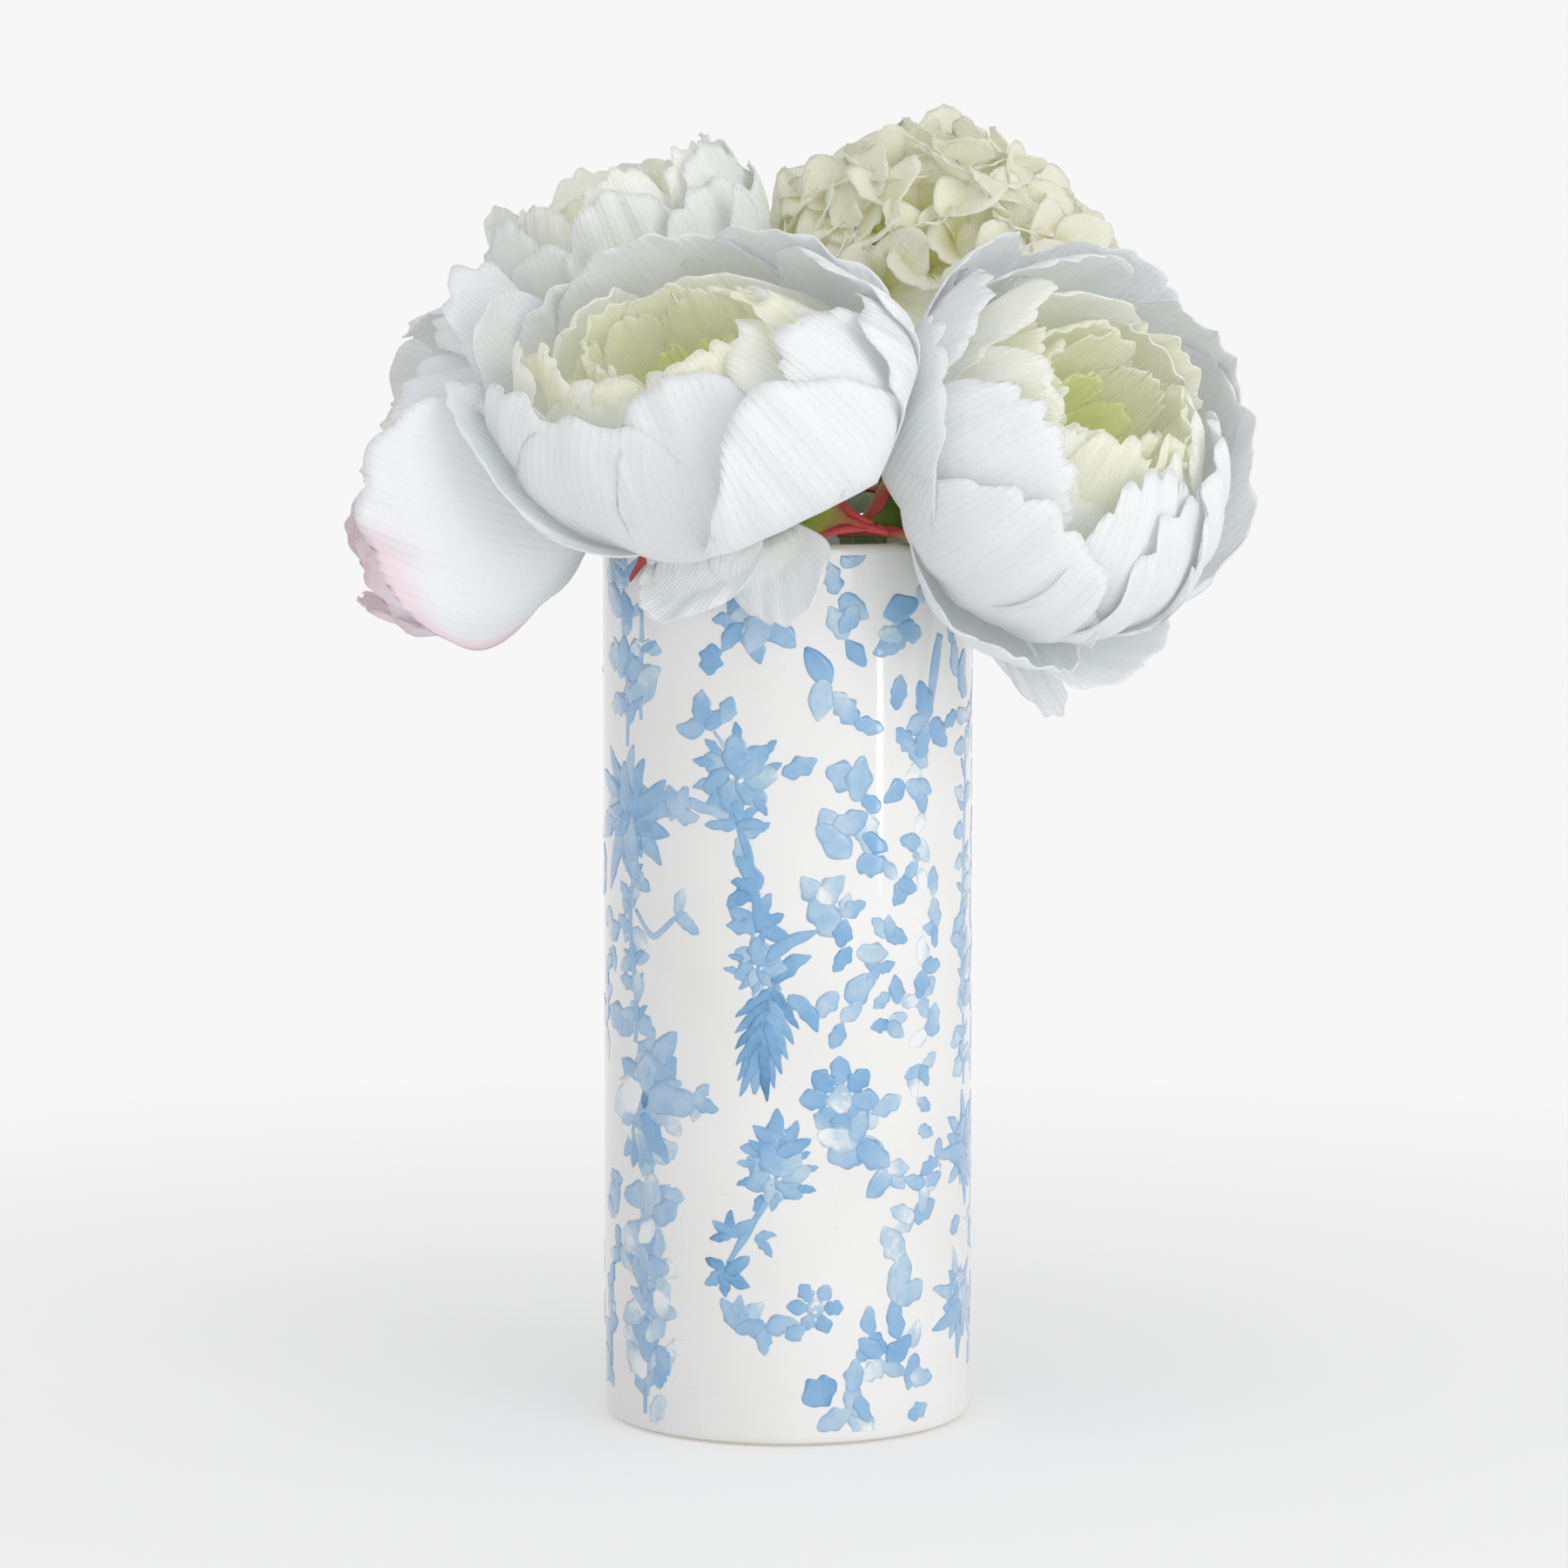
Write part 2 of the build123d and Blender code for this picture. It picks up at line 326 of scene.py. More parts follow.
def pale_floor():
    """A plain pale floor that fades into the background."""
    n = Nodes("pale_floor")
    geometry = n.new("NewGeometry")
    distance = n.new("VectorMath", Vector=geometry.outputs["Position"])
    distance.operation = "LENGTH"
    fade = n.new("MapRange", Value=distance.outputs["Value"], From_Min=0.06, From_Max=0.65, To_Min=0.4)
    colour = n.ramp(n.noise(0.6), (0.3, (0.93, 0.93, 0.93)), (0.7, (0.95, 0.95, 0.95)))
    matte = n.new("BsdfDiffuse", Color=colour)
    glow = n.new("Emission", Color=(*BACKGROUND, 1), Strength=1.0)
    return n.finish(n.shaders(fade, matte, glow))


# ---------------- meshes from grids
def placed(thing):
    """An object, now in the scene."""
    bpy.context.scene.collection.objects.link(thing)
    return thing


def add_object(name, mesh, material, body, thickness=0.0):
    """A smooth piece that rides on a body, made a sheet of some thickness."""
    mesh.materials.append(material)
    mesh.shade_smooth()
    piece = placed(bpy.data.objects.new(name, mesh))
    if thickness:
        modifier = piece.modifiers.new("thickness", "SOLIDIFY")
        modifier.thickness = thickness
        modifier.offset = 0
    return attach(piece, body)


def mesh_of(name, points, faces, values):
    """A mesh from lists of arrays, with a number at each point for each name in values."""
    mesh = bpy.data.meshes.new(name)
    mesh.from_pydata(np.concatenate(points).tolist(), [], np.concatenate(faces).tolist())
    for key, value in values.items():
        layer = mesh.attributes.new(key, "FLOAT", "POINT")
        layer.data.foreach_set("value", np.concatenate(value).astype(np.float32))
    return mesh


def quads(index):
    """The four corners of each cell of a grid of point numbers."""
    return np.stack([index[:-1, :-1], index[:-1, 1:], index[1:, 1:], index[1:, :-1]], axis=-1).reshape(-1, 4)


class Sheets:
    """Gathers grids of points into one mesh, with the attributes its material reads."""

    def __init__(self):
        self.points, self.faces = [], []
        self.values = {"along": [], "across": [], "tone": [], "blush": []}
        self.count = 0

    def add(self, grid, along, across, tone, blush=0.0, wrap=False):
        rows, columns = grid.shape[:2]
        index = self.count + np.arange(rows * columns).reshape(rows, columns)
        if wrap:
            index = np.concatenate([index, index[:, :1]], axis=1)
        self.faces.append(quads(index))
        self.points.append(grid.reshape(-1, 3))
        for key, value in (("along", along), ("across", across), ("tone", tone), ("blush", blush)):
            self.values[key].append(np.broadcast_to(value, (rows, columns)).reshape(-1))
        self.count += rows * columns

    def take_over(self, node, kind, material, body, thickness):
        """Makes the piece and lets it stand in for a CAD node."""
        mesh = mesh_of(node, self.points, self.faces, self.values)
        piece = add_object(f"{node}_{kind}", mesh, MATERIALS[material], body, thickness)
        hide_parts(node)


# ---------------- flower heads
class Head:
    """A flower head: its own frame, its centre and its radius, all from the CAD."""

    def __init__(self, name):
        joint = JOINTS[f"{name}_turn"]
        self.name = name
        self.origin = np.array(joint["pos_m"])
        z = unit(joint["axis"])
        x = unit(UP - z * z[2])
        self.axes = np.column_stack([x, np.cross(z, x), z])
        shell = "florets" if name == "hydrangea" else "outer_petals"
        low, high = (np.array(corner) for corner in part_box(f"{name}_{shell}"))
        self.radius = max(high - low) / 2
        if name == "hydrangea":
            self.centre = np.array([*((low + high) / 2)[:2], high[2] - self.radius])
        else:
            self.centre = self.origin + z * (self.radius + MM)

    def world(self, local):
        return self.origin + local @ self.axes.T

    def turned(self, directions, degrees):
        """Directions turned about the head's own axis."""
        return spin(directions @ self.axes, degrees) @ self.axes.T

    def swung(self, points, degrees):
        """Points turned with the head on its peg."""
        return self.origin + self.turned(points - self.origin, degrees)


HEADS = {name: Head(name) for name in FLOWERS}
TURN_LIMIT = JOINTS["peony_front_turn"]["range_deg"][1]
VASE_RADIUS, _, VASE_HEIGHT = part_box("vase_body")[1]


def walls_round(head):
    """(direction, distance) of flat walls that part a head from its neighbours and, last, the vase."""
    walls = []
    for other in HEADS.values():
        if other is not head:
            way = other.centre - head.centre
            apart = np.linalg.norm(way)
            if apart < (head.radius + other.radius) * NEIGHBOUR:
                spare = apart - head.radius - other.radius
                walls.append((way / apart, head.radius + spare / 2 - PETAL_GAP))
    flat = head.centre[:2] / np.linalg.norm(head.centre[:2])
    rim = np.array([*(flat * VASE_RADIUS), VASE_HEIGHT])
    if np.linalg.norm(head.centre[:2]) < VASE_RADIUS:
        rim = np.array([*head.centre[:2], VASE_HEIGHT])
    way = rim - head.centre
    walls.append((unit(way), np.linalg.norm(way) - PETAL_GAP))
    return walls


FREE = 1.0  # metres: farther than any wall
GRAZING = 0.05  # walls met at less than this cosine don't count


def press_in(points, head, vase_too=True, flats=()):
    """Draws points in towards the head's centre where they would press on a neighbour at any turn.

    flats are sides on which the head is pressed flat: (direction, distance as a share of its radius).
    """
    offset = points - head.centre
    reach = np.linalg.norm(offset, axis=-1) + 1e-9
    direction = offset / reach[..., None]
    limit = np.full(reach.shape, FREE)

    def nearer_wall(facing, distance):
        """The limit with one more wall, from the cosine at which each point faces it."""
        return np.minimum(limit, np.where(facing > GRAZING, distance / np.maximum(facing, GRAZING), FREE))

    walls = walls_round(head)
    for way, distance in walls if vase_too else walls[:-1]:
        turns = [head.turned(direction, turn) @ way for turn in (-TURN_LIMIT, 0, TURN_LIMIT)]
        limit = nearer_wall(np.max(turns, axis=0), distance)
    for way, share in flats:
        limit = nearer_wall(direction @ unit(way), head.radius * share)
    share = reach / limit
    soft = 0.86  # of the limit: up to here points stay where they are
    kept = np.where(share < soft, share, soft + (1 - soft) * np.tanh((share - soft) / (1 - soft)))
    return head.centre + direction * (kept * limit)[..., None]


LAP = 0.034  # how far one edge of a petal lies over its neighbour, of its length
RIB_REACH = 1.15  # how far the midrib's curve is worked out, of the petal's length
RIB_STEPS = 60


def petal(
    rng, length, width, lean, curl, cup, ruffle, notch, lobes, root, point=0.0, pleats=1.0,
    rows=28, columns=37,
):
    """A petal as a grid in the head's frame, its midrib in the x-z plane.

    lean and curl are the degrees its midrib makes with the head's axis at the root and at the tip, cup
    how deep it is hollowed, notch and lobes how its tip is cut, point how much its tip is narrowed,
    ruffle and pleats how crumpled it is, and root where it starts: (radius, height).
    """
    v = np.linspace(0, 1, rows)[:, None]
    u = np.linspace(-1, 1, columns)[None, :]
    # Its outline: shorter towards the sides, with notches between lobes.
    edge_wave = wave(rng, 3, 0.8, 2.4)
    scallop = np.abs(np.sin(math.pi * (lobes * (u + 1) / 2 + rng.random() + 0.2 * edge_wave(u)))) ** 0.6
    outline = 1 - 0.34 * np.abs(u) ** 2.6 - 2 * notch * (1 - scallop) * (1 + 0.8 * edge_wave(u * 0.7))
    outline = outline + 0.02 * edge_wave(u) - point * np.abs(u + 0.25 * edge_wave(0.0)) ** 0.8
    run = v * outline
    # Its midrib, and where on that each point lies.
    along_rib = np.linspace(0, RIB_REACH, RIB_STEPS)
    bend = np.radians(lean + (curl - lean) * along_rib)
    step = length * RIB_REACH / (RIB_STEPS - 1)
    rib_r = root[0] + np.concatenate([[0], np.cumsum(np.sin(bend[:-1]) * step)])
    rib_z = root[1] + np.concatenate([[0], np.cumsum(np.cos(bend[:-1]) * step)])
    r, z, angle = (np.interp(run, along_rib, curve) for curve in (rib_r, rib_z, bend))
    # Its width, bent round the head's axis.
    swell = 0.16 + 0.84 * np.sin(np.clip(v * 1.2, 0, 1) * math.pi / 2) ** 1.2
    half = width * swell * (1 - 0.16 * v**3)
    side = u * half * (1 + 0.05 * wave(rng, 2, 0.6, 1.4)(v))
    bow = cup / np.maximum(r, length * 0.22)
    arc = np.clip(bow * side, -1.5, 1.5)
    lateral = np.sin(arc) / bow
    depth = (1 - np.cos(arc)) / bow
    # Pleats from the root, a frill along the edge, crumples, and an edge that rolls back.
    pleat = wave(rng, 3, 1.2, 3.2)(u) * 0.012 * length * (0.3 + 0.7 * v) * (1 - 0.4 * v)
    pleat = pleat + wave(rng, 3, 2.2, 3.8)(u + 0.1 * v) * 0.006 * length * smoothstep(v, 0.1, 0.6)
    frill = ruffle * length * v**2.2 * (0.25 + 0.75 * np.abs(u) ** 1.2) * wave(rng, 2, 1.2, 2.6)(u + 0.25 * v)
    frill = frill + ruffle * length * smoothstep(v, 0.72, 1.0) * wave(rng, 2, 2.5, 4.5)(u) * 0.5
    crumple = 0.012 * length * wave(rng, 2, 0.6, 1.6)(v + 0.4 * u) * wave(rng, 2, 0.5, 1.3)(u - 0.3 * v)
    roll = -0.5 * ruffle * length * smoothstep(v, 0.86, 1.0) - 0.03 * length * np.abs(u) ** 4 * v
    push = depth + pleats * pleat + frill + crumple + roll + LAP * length * u * v
    sway = wave(rng, 2, 0.3, 0.8)(v) * 0.04 * length * v
    grid = np.stack([r - np.cos(angle) * push, lateral + sway, z + np.sin(angle) * push], axis=-1)
    return grid, np.broadcast_to(v, (rows, columns)), np.broadcast_to(u, (rows, columns))


# Petal rings, outermost first. Lengths and widths are shares of the head's radius. A ring is closed
# on the side away from the flower's opening: there its petals are longer by "grow" and curl over by
# "close" degrees more. "follow" is how far a ring keeps to that.
GUARD = dict(count=6, length=2.18, width=0.90, lean=98, curl=-38, cup=1.1, ruffle=0.016, notch=0.010, lobes=4)
CUP = dict(count=6, length=2.26, width=0.82, lean=96, curl=-50, cup=1.15, ruffle=0.018, notch=0.014, lobes=4)
MIDDLE = dict(
    count=7, length=2.0, width=0.66, lean=88, curl=-54, cup=1.05, ruffle=0.014, notch=0.016, lobes=4,
    pleats=0.5, follow=0.6,
)
INNER = dict(
    count=7, length=1.78, width=0.52, lean=70, curl=-40, cup=1.0, ruffle=0.022, notch=0.018, lobes=4,
    pleats=0.5, follow=0.4,
)
HEART = dict(
    count=7, length=1.50, width=0.38, lean=50, curl=-24, cup=1.1, ruffle=0.03, notch=0.022, lobes=4,
    pleats=0.6, follow=0.3,
)
CORE = dict(
    count=7, length=1.12, width=0.24, lean=34, curl=-6, cup=1.4, ruffle=0.04, notch=0.03, lobes=3,
    pleats=0.6, follow=0.0,
)


class Bloom:
    """How one peony opens: towards which bearing, how lopsidedly, and how its head is stretched.

    cream is how much less white its petals are on the open side.
    """

    def __init__(
        self, name, seed, start, opening, grow, close, up=1.0, down=1.0, side=1.0, forward=1.0, tone=0.0,
        cream=0.0, blush=0.0, flats=(), **rings,
    ):
        self.head = HEADS[name]
        self.flats = flats
        self.rng = random.Random(seed)
        self.start, self.opening, self.grow, self.close = start, opening, grow, close
        self.up, self.down, self.side, self.forward = up, down, side, forward
        self.tone, self.cream, self.blush = tone, cream, blush
        self.rings = dict(guard=GUARD, cup=CUP, middle=MIDDLE, inner=INNER) | rings

    def place(self, grid, bearing, vase_too=True):
        """A petal stretched with its head, pressed in where something is in its way."""
        local = spin(grid, bearing)
        upper = smoothstep(local[..., 0] / self.head.radius, -0.7, 0.7)
        local[..., 0] *= self.down + (self.up - self.down) * upper
        local *= (1.0, self.side, self.forward)
        return press_in(self.head.world(local), self.head, vase_too, self.flats if vase_too else ())

    def ring(self, sheets, spec, start, tone, root_height):
        """The petals of one ring, each a little different."""
        rng, size = self.rng, self.head.radius
        shape = dict(spec)
        count = shape.pop("count")
        follow = shape.pop("follow", 1.0)
        for i in range(count):
            bearing = start + 360 / count * i + rng.uniform(-7, 7)
            far = -math.cos(math.radians(bearing - self.opening))
            shape.update(
                length=size * spec["length"] * (1 + self.grow * far) * rng.uniform(0.95, 1.04),
                width=size * spec["width"] * rng.uniform(0.92, 1.08),
                curl=spec["curl"] - self.close * far * follow + rng.uniform(-9, 9),
                cup=spec["cup"] * rng.uniform(0.9, 1.1),
                lobes=spec["lobes"] + rng.randint(-1, 1),
                root=(0.002 + 0.0004 * (i % 3), root_height),
            )
            grid, along, across = petal(rng, **shape)
            points = self.place(grid, bearing)
            shade = tone - self.cream * follow**2 * max(0.0, -far) + rng.uniform(-0.05, 0.05)
            sheets.add(points, along, across, shade, self.pink_edge(points, along, across))

    def pink_edge(self, points, along, across):
        """How pink a petal is: only along the edges that hang lowest."""
        edge = smoothstep(np.maximum(along, np.abs(across) ** 1.5), 0.80, 1.0)
        return self.blush * edge * smoothstep(VASE_HEIGHT + 12 * MM - points[..., 2], 0, 14 * MM)

    def loose(self, sheets, petals):
        """Single petals outside the rings: (bearing, length, width, lean, curl, cup, notch, point)."""
        for bearing, length, width, lean, curl, cup, notch, point in petals:
            grid, along, across = petal(
                self.rng, self.head.radius * length, self.head.radius * width, lean, curl, cup,
                ruffle=0.02, notch=notch, lobes=4, point=point, root=(0.004, -0.0005),
            )
            points = self.place(grid, bearing, vase_too=False)
            for turn in (-TURN_LIMIT, TURN_LIMIT, -TURN_LIMIT / 2, TURN_LIMIT / 2, 0) * 2:
                points = self.head.swung(keep_off_vase(self.head.swung(points, turn)), -turn)
            sheets.add(points, along, across, self.tone, self.pink_edge(points, along, across))

    def build(self, *loose):
        """Its petals as four pieces, one for each CAD layer; rings are (ring, turn, tone, root height)."""
        guard, cup, middle, inner = (self.rings[key] for key in ("guard", "cup", "middle", "inner"))
        for layer, material, rings in (
            ("outer_petals", "petal_white", ((guard, 0, self.tone, 0.0), (cup, 30, self.tone, 0.0015))),
            ("middle_petals", "petal_ivory", ((middle, 12, 0.0, 0.004),)),
            ("inner_petals", "petal_green_cream", ((inner, 25, 0.0, 0.006), (HEART, 5, -0.08, 0.008))),
            ("core", "heart_green", ((CORE, 0, -0.05, 0.009),)),
        ):
            sheets = Sheets()
            if layer == "outer_petals":
                self.loose(sheets, loose)
            for spec, turn, tone, height in rings:
                self.ring(sheets, spec, self.start + turn, tone, height)
            name = self.head.name
            sheets.take_over(f"{name}_{layer}", "cloth", material, f"{name}_head", PETAL_CLOTH)


def keep_off_vase(points):
    """Moves points that would be inside the vase's wall out sideways, or up if its top is much nearer."""
    radius, height = VASE_RADIUS + LOOSE_GAP, VASE_HEIGHT + LOOSE_GAP
    flat = np.linalg.norm(points[..., :2], axis=-1)
    inward = radius - flat
    down = height - points[..., 2]
    inside = (inward > 0) & (down > 0)
    sideways = inward < down * 1.5
    moved = points.copy()
    moved[..., :2] *= np.where(inside & sideways, radius / np.maximum(flat, TINY), 1.0)[..., None]
    moved[..., 2] = np.where(inside & ~sideways, height, moved[..., 2])
    return moved


def drape_over_rim(points):
    """Spreads points that would be inside the vase over its rim, outwards from a circle deep inside it."""
    radius, height = VASE_RADIUS - DRAPE_DEPTH, VASE_HEIGHT - DRAPE_DEPTH
    flat = np.linalg.norm(points[..., :2], axis=-1)
    dr = flat - radius
    dz = points[..., 2] - height
    reach = DRAPE_DEPTH + DRAPE_GAP
    stretch = np.maximum(1.0, np.minimum(reach / np.maximum(dr, TINY), reach / np.maximum(dz, TINY)))
    scale = (radius + dr * np.where(dr > 0, stretch, 1.0)) / np.maximum(flat, TINY)
    z = height + dz * np.where(dz > 0, stretch, 1.0)
    return np.stack([points[..., 0] * scale, points[..., 1] * scale, z], axis=-1)


# ---------------- hydrangea
def floret(sheets, rng, centre, out, size, tone):
    """Four broad petals and a small bud, facing out."""
    side = unit(np.cross(out, UP + 0.01))
    axes = np.array([side, np.cross(out, side), out])
    start = rng.uniform(0, 90)
    for i in range(4):
        grid, along, across = petal(
            rng, length=size * rng.uniform(0.9, 1.1), width=size * 0.50, lean=62 + rng.uniform(-10, 8),
            curl=60 + rng.uniform(-26, 20), cup=0.8, ruffle=0.05, notch=0.0, lobes=1, point=0.10,
            root=(0.0008, 0.0003 * (i % 2)), rows=11, columns=11,
        )
        points = centre + spin(grid, start + 90 * i + rng.uniform(-6, 6)) @ axes
        sheets.add(points, along, across, tone + rng.uniform(-0.08, 0.08))
    bud = np.array([(1.10, 0.0), (1.155, 0.88), (0.66, 1.584), (0.022, 1.76)]) * MM
    sheets.add(lathe(centre, axes, bud, 8), 0.0, 0.0, -0.1, wrap=True)


def on_ball(bearing, rise):
    """The direction at some bearing, in radians, and some height on a ball of radius 1."""
    across = math.sqrt(1 - rise * rise)
    return np.array([across * math.cos(bearing), across * math.sin(bearing), rise])


def hydrangea_florets():
    """Florets spread evenly over the dome, and a few that stand up at its top."""
    head = HEADS["hydrangea"]
    rng = random.Random(41)
    sheets = Sheets()
    total = 66
    size = 22 * MM
    lowest = -0.22
    for i in range(total):
        way = head.axes @ on_ball(i * GOLDEN_ANGLE, 1 - (i + 0.5) / total * (1 - lowest))
        out = unit(way + 0.42 * np.array([rng.uniform(-1, 1) for _ in range(3)]))
        start = head.centre + way * (head.radius - rng.uniform(1, 9) * MM)
        floret(sheets, rng, start, out, size * rng.uniform(0.85, 1.15), 0.0)
    for bearing, rise in ((20, 0.92), (75, 0.95), (-40, 0.97), (160, 0.99)):
        local = on_ball(math.radians(bearing), rise)
        out = unit(head.axes[:, :2] @ local[:2] + 0.6 * UP)
        start = head.centre + unit(head.axes @ local * 0.4 + UP) * (head.radius - 5 * MM)
        floret(sheets, rng, start, out, size, 0.1)
    sheets.points = [press_in(points, head) for points in sheets.points]
    sheets.take_over("hydrangea_florets", "cloth", "floret_cream", "hydrangea_head", THIN_CLOTH)


# ---------------- calyx and leaves
CALYX_CUP = (  # radius and height in mm, from the hole for the peg round the outside and back
    (2.35, -9.0), (3.1, -9.2), (3.5, -8.4), (3.9, -6.0), (4.8, -3.2), (6.4, -0.9), (6.9, -0.2), (6.2, 0.0),
    (2.35, 0.0),
)
SLEEVE = (  # the ring that grips the stem, in the same way
    (2.45, -2.5), (3.25, -2.5), (3.4, -1.5), (3.3, 0.0), (3.4, 1.5), (3.25, 2.5), (2.45, 2.5), (2.45, -2.5),
)
CLIP_WIDTH = 7.2 * MM  # of the CAD leaf's end that grips the stem
PETIOLE = 7 * MM
TEETH = 13  # down each side of a leaf


def calyx(name, *sepals):
    """The cup under a peony's petals and its sepals: (bearing, length, lean, curl, tone, width share)."""
    head = HEADS[name]
    rng = random.Random(len(name))
    sheets = Sheets()
    sheets.add(lathe(head.origin, head.axes.T, np.array(CALYX_CUP) * MM, 20), 0.15, 0.0, 0.0, wrap=True)
    for bearing, length, lean, curl, tone, share in sepals:
        grid, along, across = petal(
            rng, length * MM, length * share * MM, lean, curl, cup=0.8, ruffle=0.03, notch=0.0, lobes=1,
            root=(0.0045, -0.0012), rows=16, columns=11,
        )
        taper = 1 - 0.9 * smoothstep(along, 0.35, 1.0)
        grid[..., 1] = grid[..., 1] * taper
        sheets.add(drape_over_rim(head.world(spin(grid, bearing))), along, across, tone)
    sheets.take_over(f"{name}_calyx", "moulding", "calyx_green", f"{name}_stem_assembly", SEPAL_PLASTIC)


def leaf(name, roll=0.0, droop=0.03):
    """A toothed leaf with its petiole and the sleeve that grips the stem, where the CAD leaf is.

    roll is how far, in degrees, the blade turns over about its midrib; droop is how far its tip
    hangs, as a share of its length.
    """
    node = f"{name}_leaf"
    points = np.array([v.co for v in frame["nodes"][node].data.vertices])
    way = unit(JOINTS[f"{name}_lift"]["axis"])
    tip = points[np.argmax(np.linalg.norm(points - points.mean(0), axis=1))]
    far = np.linalg.norm(points - tip, axis=1)
    clip = points[far > far.max() - CLIP_WIDTH].mean(0)
    heading = unit(tip - clip)
    length = np.linalg.norm(tip - clip)
    across = unit(np.cross(way, heading) if abs(heading[2]) > 0.7 else np.cross(UP, heading))
    top = unit(np.cross(heading, across))
    tilt = math.radians(roll)
    across, top = (
        across * math.cos(tilt) - top * math.sin(tilt),
        top * math.cos(tilt) + across * math.sin(tilt),
    )
    rng = random.Random(node)
    v = np.linspace(0, 1, 40)[:, None]
    u = np.linspace(-1, 1, 17)[None, :]
    blade = length - PETIOLE
    teeth = 1 + 0.10 * (np.abs((v * TEETH) % 1 - 0.5) * 2 - 0.5) * smoothstep(v, 0.05, 0.3)
    half = blade * 0.27 * np.sin(math.pi * np.clip(v, 0.001, 0.999) ** 0.85) ** 0.9 * teeth + 0.25 * MM
    sag = -droop * blade * v**2 + 0.02 * blade * wave(rng, 2, 0.5, 1.2)(v)
    fold = np.abs(u) ** 1.4 * half * 0.28 + 0.02 * blade * wave(rng, 2, 1.0, 2.0)(v + 0.2 * u) * np.abs(u)
    side_ribs = 0.25 * MM * np.sin((v - 0.2 * np.abs(u)) * 70) * np.abs(u) * (1 - np.abs(u))
    local = np.stack([u * half, sag + fold + side_ribs, PETIOLE + v * blade + 0 * u], axis=-1)
    sheets = Sheets()
    sheets.add(clip + local @ np.array([across, top, heading]), v, u, 0.0)
    stalk = np.linspace((0.9, 3.0), (0.585, 10.5), 8) * MM
    sheets.add(lathe(clip, (across, top, heading), stalk, 12), 0.5, 0.02, 0.0, wrap=True)
    e1 = unit(np.cross(way, heading))
    sleeve = lathe(clip, (e1, np.cross(way, e1), way), np.array(SLEEVE) * MM, 12)
    sheets.add(sleeve, 0.5, 0.02, 0.0, wrap=True)
    sheets.take_over(node, "cloth", "leaf_green", f"{name}_stem_assembly", THIN_CLOTH)


# ---------------- brushwork on the vase
WHITE_DOT = 0.02  # the tone of a dot of bare white


def polar(s, z, degrees, reach):
    """The point at some distance and angle from (s, z)."""
    a = math.radians(degrees)
    return s + math.cos(a) * reach, z + math.sin(a) * reach


